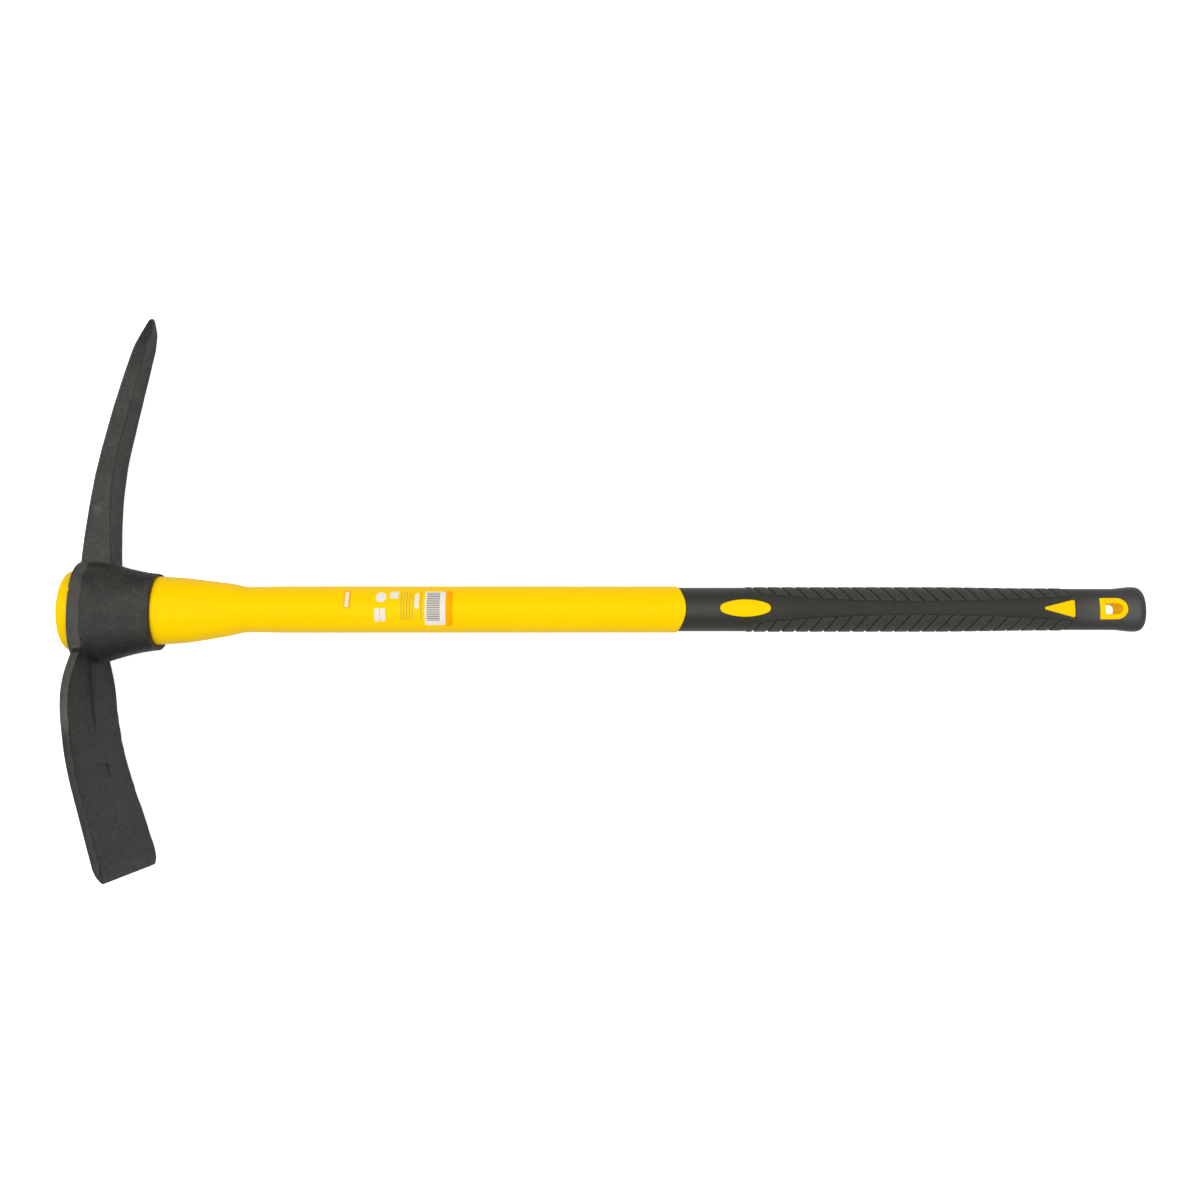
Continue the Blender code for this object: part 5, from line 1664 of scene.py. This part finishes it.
class MATTOCK_OT_head(bpy.types.Operator):
    """Build the forged head: eye, pick, blade and rib in one piece"""
    bl_idname = "mattock.head"
    bl_label = "Forged head"

    def execute(self, context):
        settings = context.scene.mattock_head
        # The trimmed and flat materials are lighter copies of the lacquer: painted light
        add_piece('forged_head', head_mesh(settings), 'head',
                  [steel_material(settings, 'Lacquered forging with painted shade', 1.0),
                   steel_material(settings, 'Trimmed forging with painted light', settings.trim_painted_light, 'trimmed'),
                   steel_material(settings, 'Rough flat with painted light', settings.flat_painted_light, 'flat')],
                  ['mattock_head'])
        return {'FINISHED'}


class MATTOCK_OT_handle(bpy.types.Operator):
    """Build the moulded handle with its insets, and finish the rod inside it"""
    bl_idname = "mattock.handle"
    bl_label = "Moulded handle"

    def execute(self, context):
        settings = context.scene.mattock_handle
        add_piece('moulded_handle', jacket_mesh(settings), 'handle',
                  [yellow_material(settings, 'Moulded yellow', 0.0),
                   yellow_material(settings, 'Yellow in the hole', 0.18)], ['handle_jacket'])
        core = frame["nodes"]["handle_core"]
        core.data.materials.clear()
        core.data.materials.append(core_material())
        return {'FINISHED'}


class MATTOCK_OT_grip(bpy.types.Operator):
    """Build the rubber grip with its tread, windows and flared butt"""
    bl_idname = "mattock.grip"
    bl_label = "Rubber grip"

    def execute(self, context):
        settings = context.scene.mattock_grip
        plain, tread = tuple(settings.rubber_colour), tuple(settings.tread_colour)
        add_piece('rubber_grip', sleeve_mesh(settings), 'handle',
                  [rubber_material(settings, 'Smooth rubber', plain, False),
                   rubber_material(settings, 'Tread rubber', tread, True),
                   # A darker copy of the tread: painted shade in the grooves
                   rubber_material(settings, 'Groove rubber with painted shade', scaled(tread, 0.4), True)],
                  ['grip_sleeve'])
        return {'FINISHED'}


class MATTOCK_OT_label(bpy.types.Operator):
    """Build the printed sticker on the shaft"""
    bl_idname = "mattock.label"
    bl_label = "Shaft label"

    def execute(self, context):
        settings = context.scene.mattock_label
        add_piece('printed_label', label_mesh(settings), 'handle',
                  [label_material(settings)], ['shaft_label'])
        return {'FINISHED'}


class MATTOCK_OT_stage(bpy.types.Operator):
    """Set up the floor, the soft lights, the surroundings and the camera"""
    bl_idname = "mattock.stage"
    bl_label = "Studio"

    def execute(self, context):
        settings = context.scene.mattock_stage
        add_floor(settings)
        add_lights(settings)
        add_camera(context)
        return {'FINISHED'}


def add_floor(settings):
    """Wide pale floor with a very fine tooth."""
    half = 6.0
    corners = [(-half, -half, 0), (half, -half, 0), (half, half, 0), (-half, half, 0)]
    mesh = mesh_from('studio_floor', corners, [(0, 1, 2, 3)], normals=False)
    floor = new_object('studio_floor', mesh)
    material, build, shader = new_material('Pale floor', Specular_IOR_Level=0.1, Roughness=0.9)
    grain = build.ramp(build.grain(build.place(), 300.0), 0.3, 0.7)
    colour = tuple(settings.floor_colour)
    build.feed(shader.inputs['Base Color'], build.mix(grain, scaled(colour, 0.99), colour))
    seen = build.add('ShaderNodeLightPath').outputs['Is Camera Ray']
    build.feed(shader.inputs['Emission Color'], (1.0, 1.0, 1.0))
    build.feed(shader.inputs['Emission Strength'], build.times(seen, settings.floor_lift))
    mesh.materials.append(material)


def add_light(name, power, size, place, target=(0.0, 0.0, 0.0)):
    """Large soft area light at place, facing the target."""
    light = bpy.data.lights.new(name, 'AREA')
    light.shape = 'RECTANGLE'
    light.size, light.size_y = size
    light.energy = power
    lamp = new_object(name, light)
    lamp.location = place
    lamp.rotation_euler = (Vector(target) - Vector(place)).to_track_quat('-Z', 'Y').to_euler()


def add_lights(settings):
    """Three soft lights and white surroundings that the camera sees as plain white."""
    add_light('overhead', settings.overhead_power, (4.0, 1.8), (0.0, 0.2, 1.9))
    add_light('side_far', settings.far_power, (2.0, 1.2), (0.2, 1.7, 0.9))
    add_light('side_near', settings.near_power, (2.0, 1.2), (-0.2, -1.7, 0.9))
    world = bpy.data.worlds.new('Studio')
    bpy.context.scene.world = world
    world.use_nodes = True
    back = world.node_tree.nodes['Background']
    back.inputs['Color'].default_value = (1.0, 1.0, 1.0, 1.0)
    build = Tree(world.node_tree)
    seen = build.add('ShaderNodeLightPath').outputs['Is Camera Ray']
    build.feed(back.inputs['Strength'], build.ramp(seen, 0.0, 1.0, settings.surround, 1.0))
    bpy.context.scene.view_settings.view_transform = 'Standard'


def add_camera(context):
    """Camera straight above, in the tool's frame, which the photograph was solved in."""
    along = Vector((1.0, 0.0, 0.0))
    across = Vector((0.0, cos(CAMERA_ROLL), -sin(CAMERA_ROLL)))
    up = Vector((0.0, sin(CAMERA_ROLL), cos(CAMERA_ROLL)))
    turn = Matrix.Rotation(CAMERA_PITCH, 3, 'Y')
    seen = Matrix([turn @ axis for axis in (along, across, up)])
    place = seen @ Vector((0.0, -CAMERA_ASIDE, CAMERA_HEIGHT)) + Vector((CAMERA_ALONG, 0.0, 0.0))
    in_tool = seen.to_4x4()
    in_tool.translation = place * MM
    data = bpy.data.cameras.new('Camera')
    data.lens = LENS
    data.sensor_width = SENSOR_WIDTH
    data.clip_start = 0.01
    camera = new_object('Camera', data)
    camera.matrix_world = tool_matrix() @ in_tool
    context.scene.camera = camera


class MATTOCK_PT_panel(bpy.types.Panel):
    """Lists the tool's pieces and their sizes"""
    bl_idname = "MATTOCK_PT_panel"
    bl_label = "Pick Mattock"
    bl_space_type = 'VIEW_3D'
    bl_region_type = 'UI'
    bl_category = "Mattock"

    def draw(self, context):
        for name, _, operator in PIECES:
            box = self.layout.box()
            box.operator(operator.bl_idname)
            settings = getattr(context.scene, name)
            for key in settings.__annotations__:
                box.prop(settings, key)


PIECES = (
    ("mattock_stage", MattockStageSettings, MATTOCK_OT_stage),
    ("mattock_head", MattockHeadSettings, MATTOCK_OT_head),
    ("mattock_handle", MattockHandleSettings, MATTOCK_OT_handle),
    ("mattock_grip", MattockGripSettings, MATTOCK_OT_grip),
    ("mattock_label", MattockLabelSettings, MATTOCK_OT_label),
)


def register():
    for name, settings, operator in PIECES:
        bpy.utils.register_class(settings)
        bpy.utils.register_class(operator)
        setattr(bpy.types.Scene, name, PointerProperty(type=settings))
    bpy.utils.register_class(MATTOCK_PT_panel)


def unregister():
    bpy.utils.unregister_class(MATTOCK_PT_panel)
    for name, settings, operator in reversed(PIECES):
        delattr(bpy.types.Scene, name)
        bpy.utils.unregister_class(operator)
        bpy.utils.unregister_class(settings)


def main():
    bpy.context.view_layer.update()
    register()
    bpy.ops.mattock.stage()
    bpy.ops.mattock.head()
    bpy.ops.mattock.handle()
    bpy.ops.mattock.grip()
    bpy.ops.mattock.label()
    bpy.context.view_layer.update()


if __name__ == "__main__":
    main()
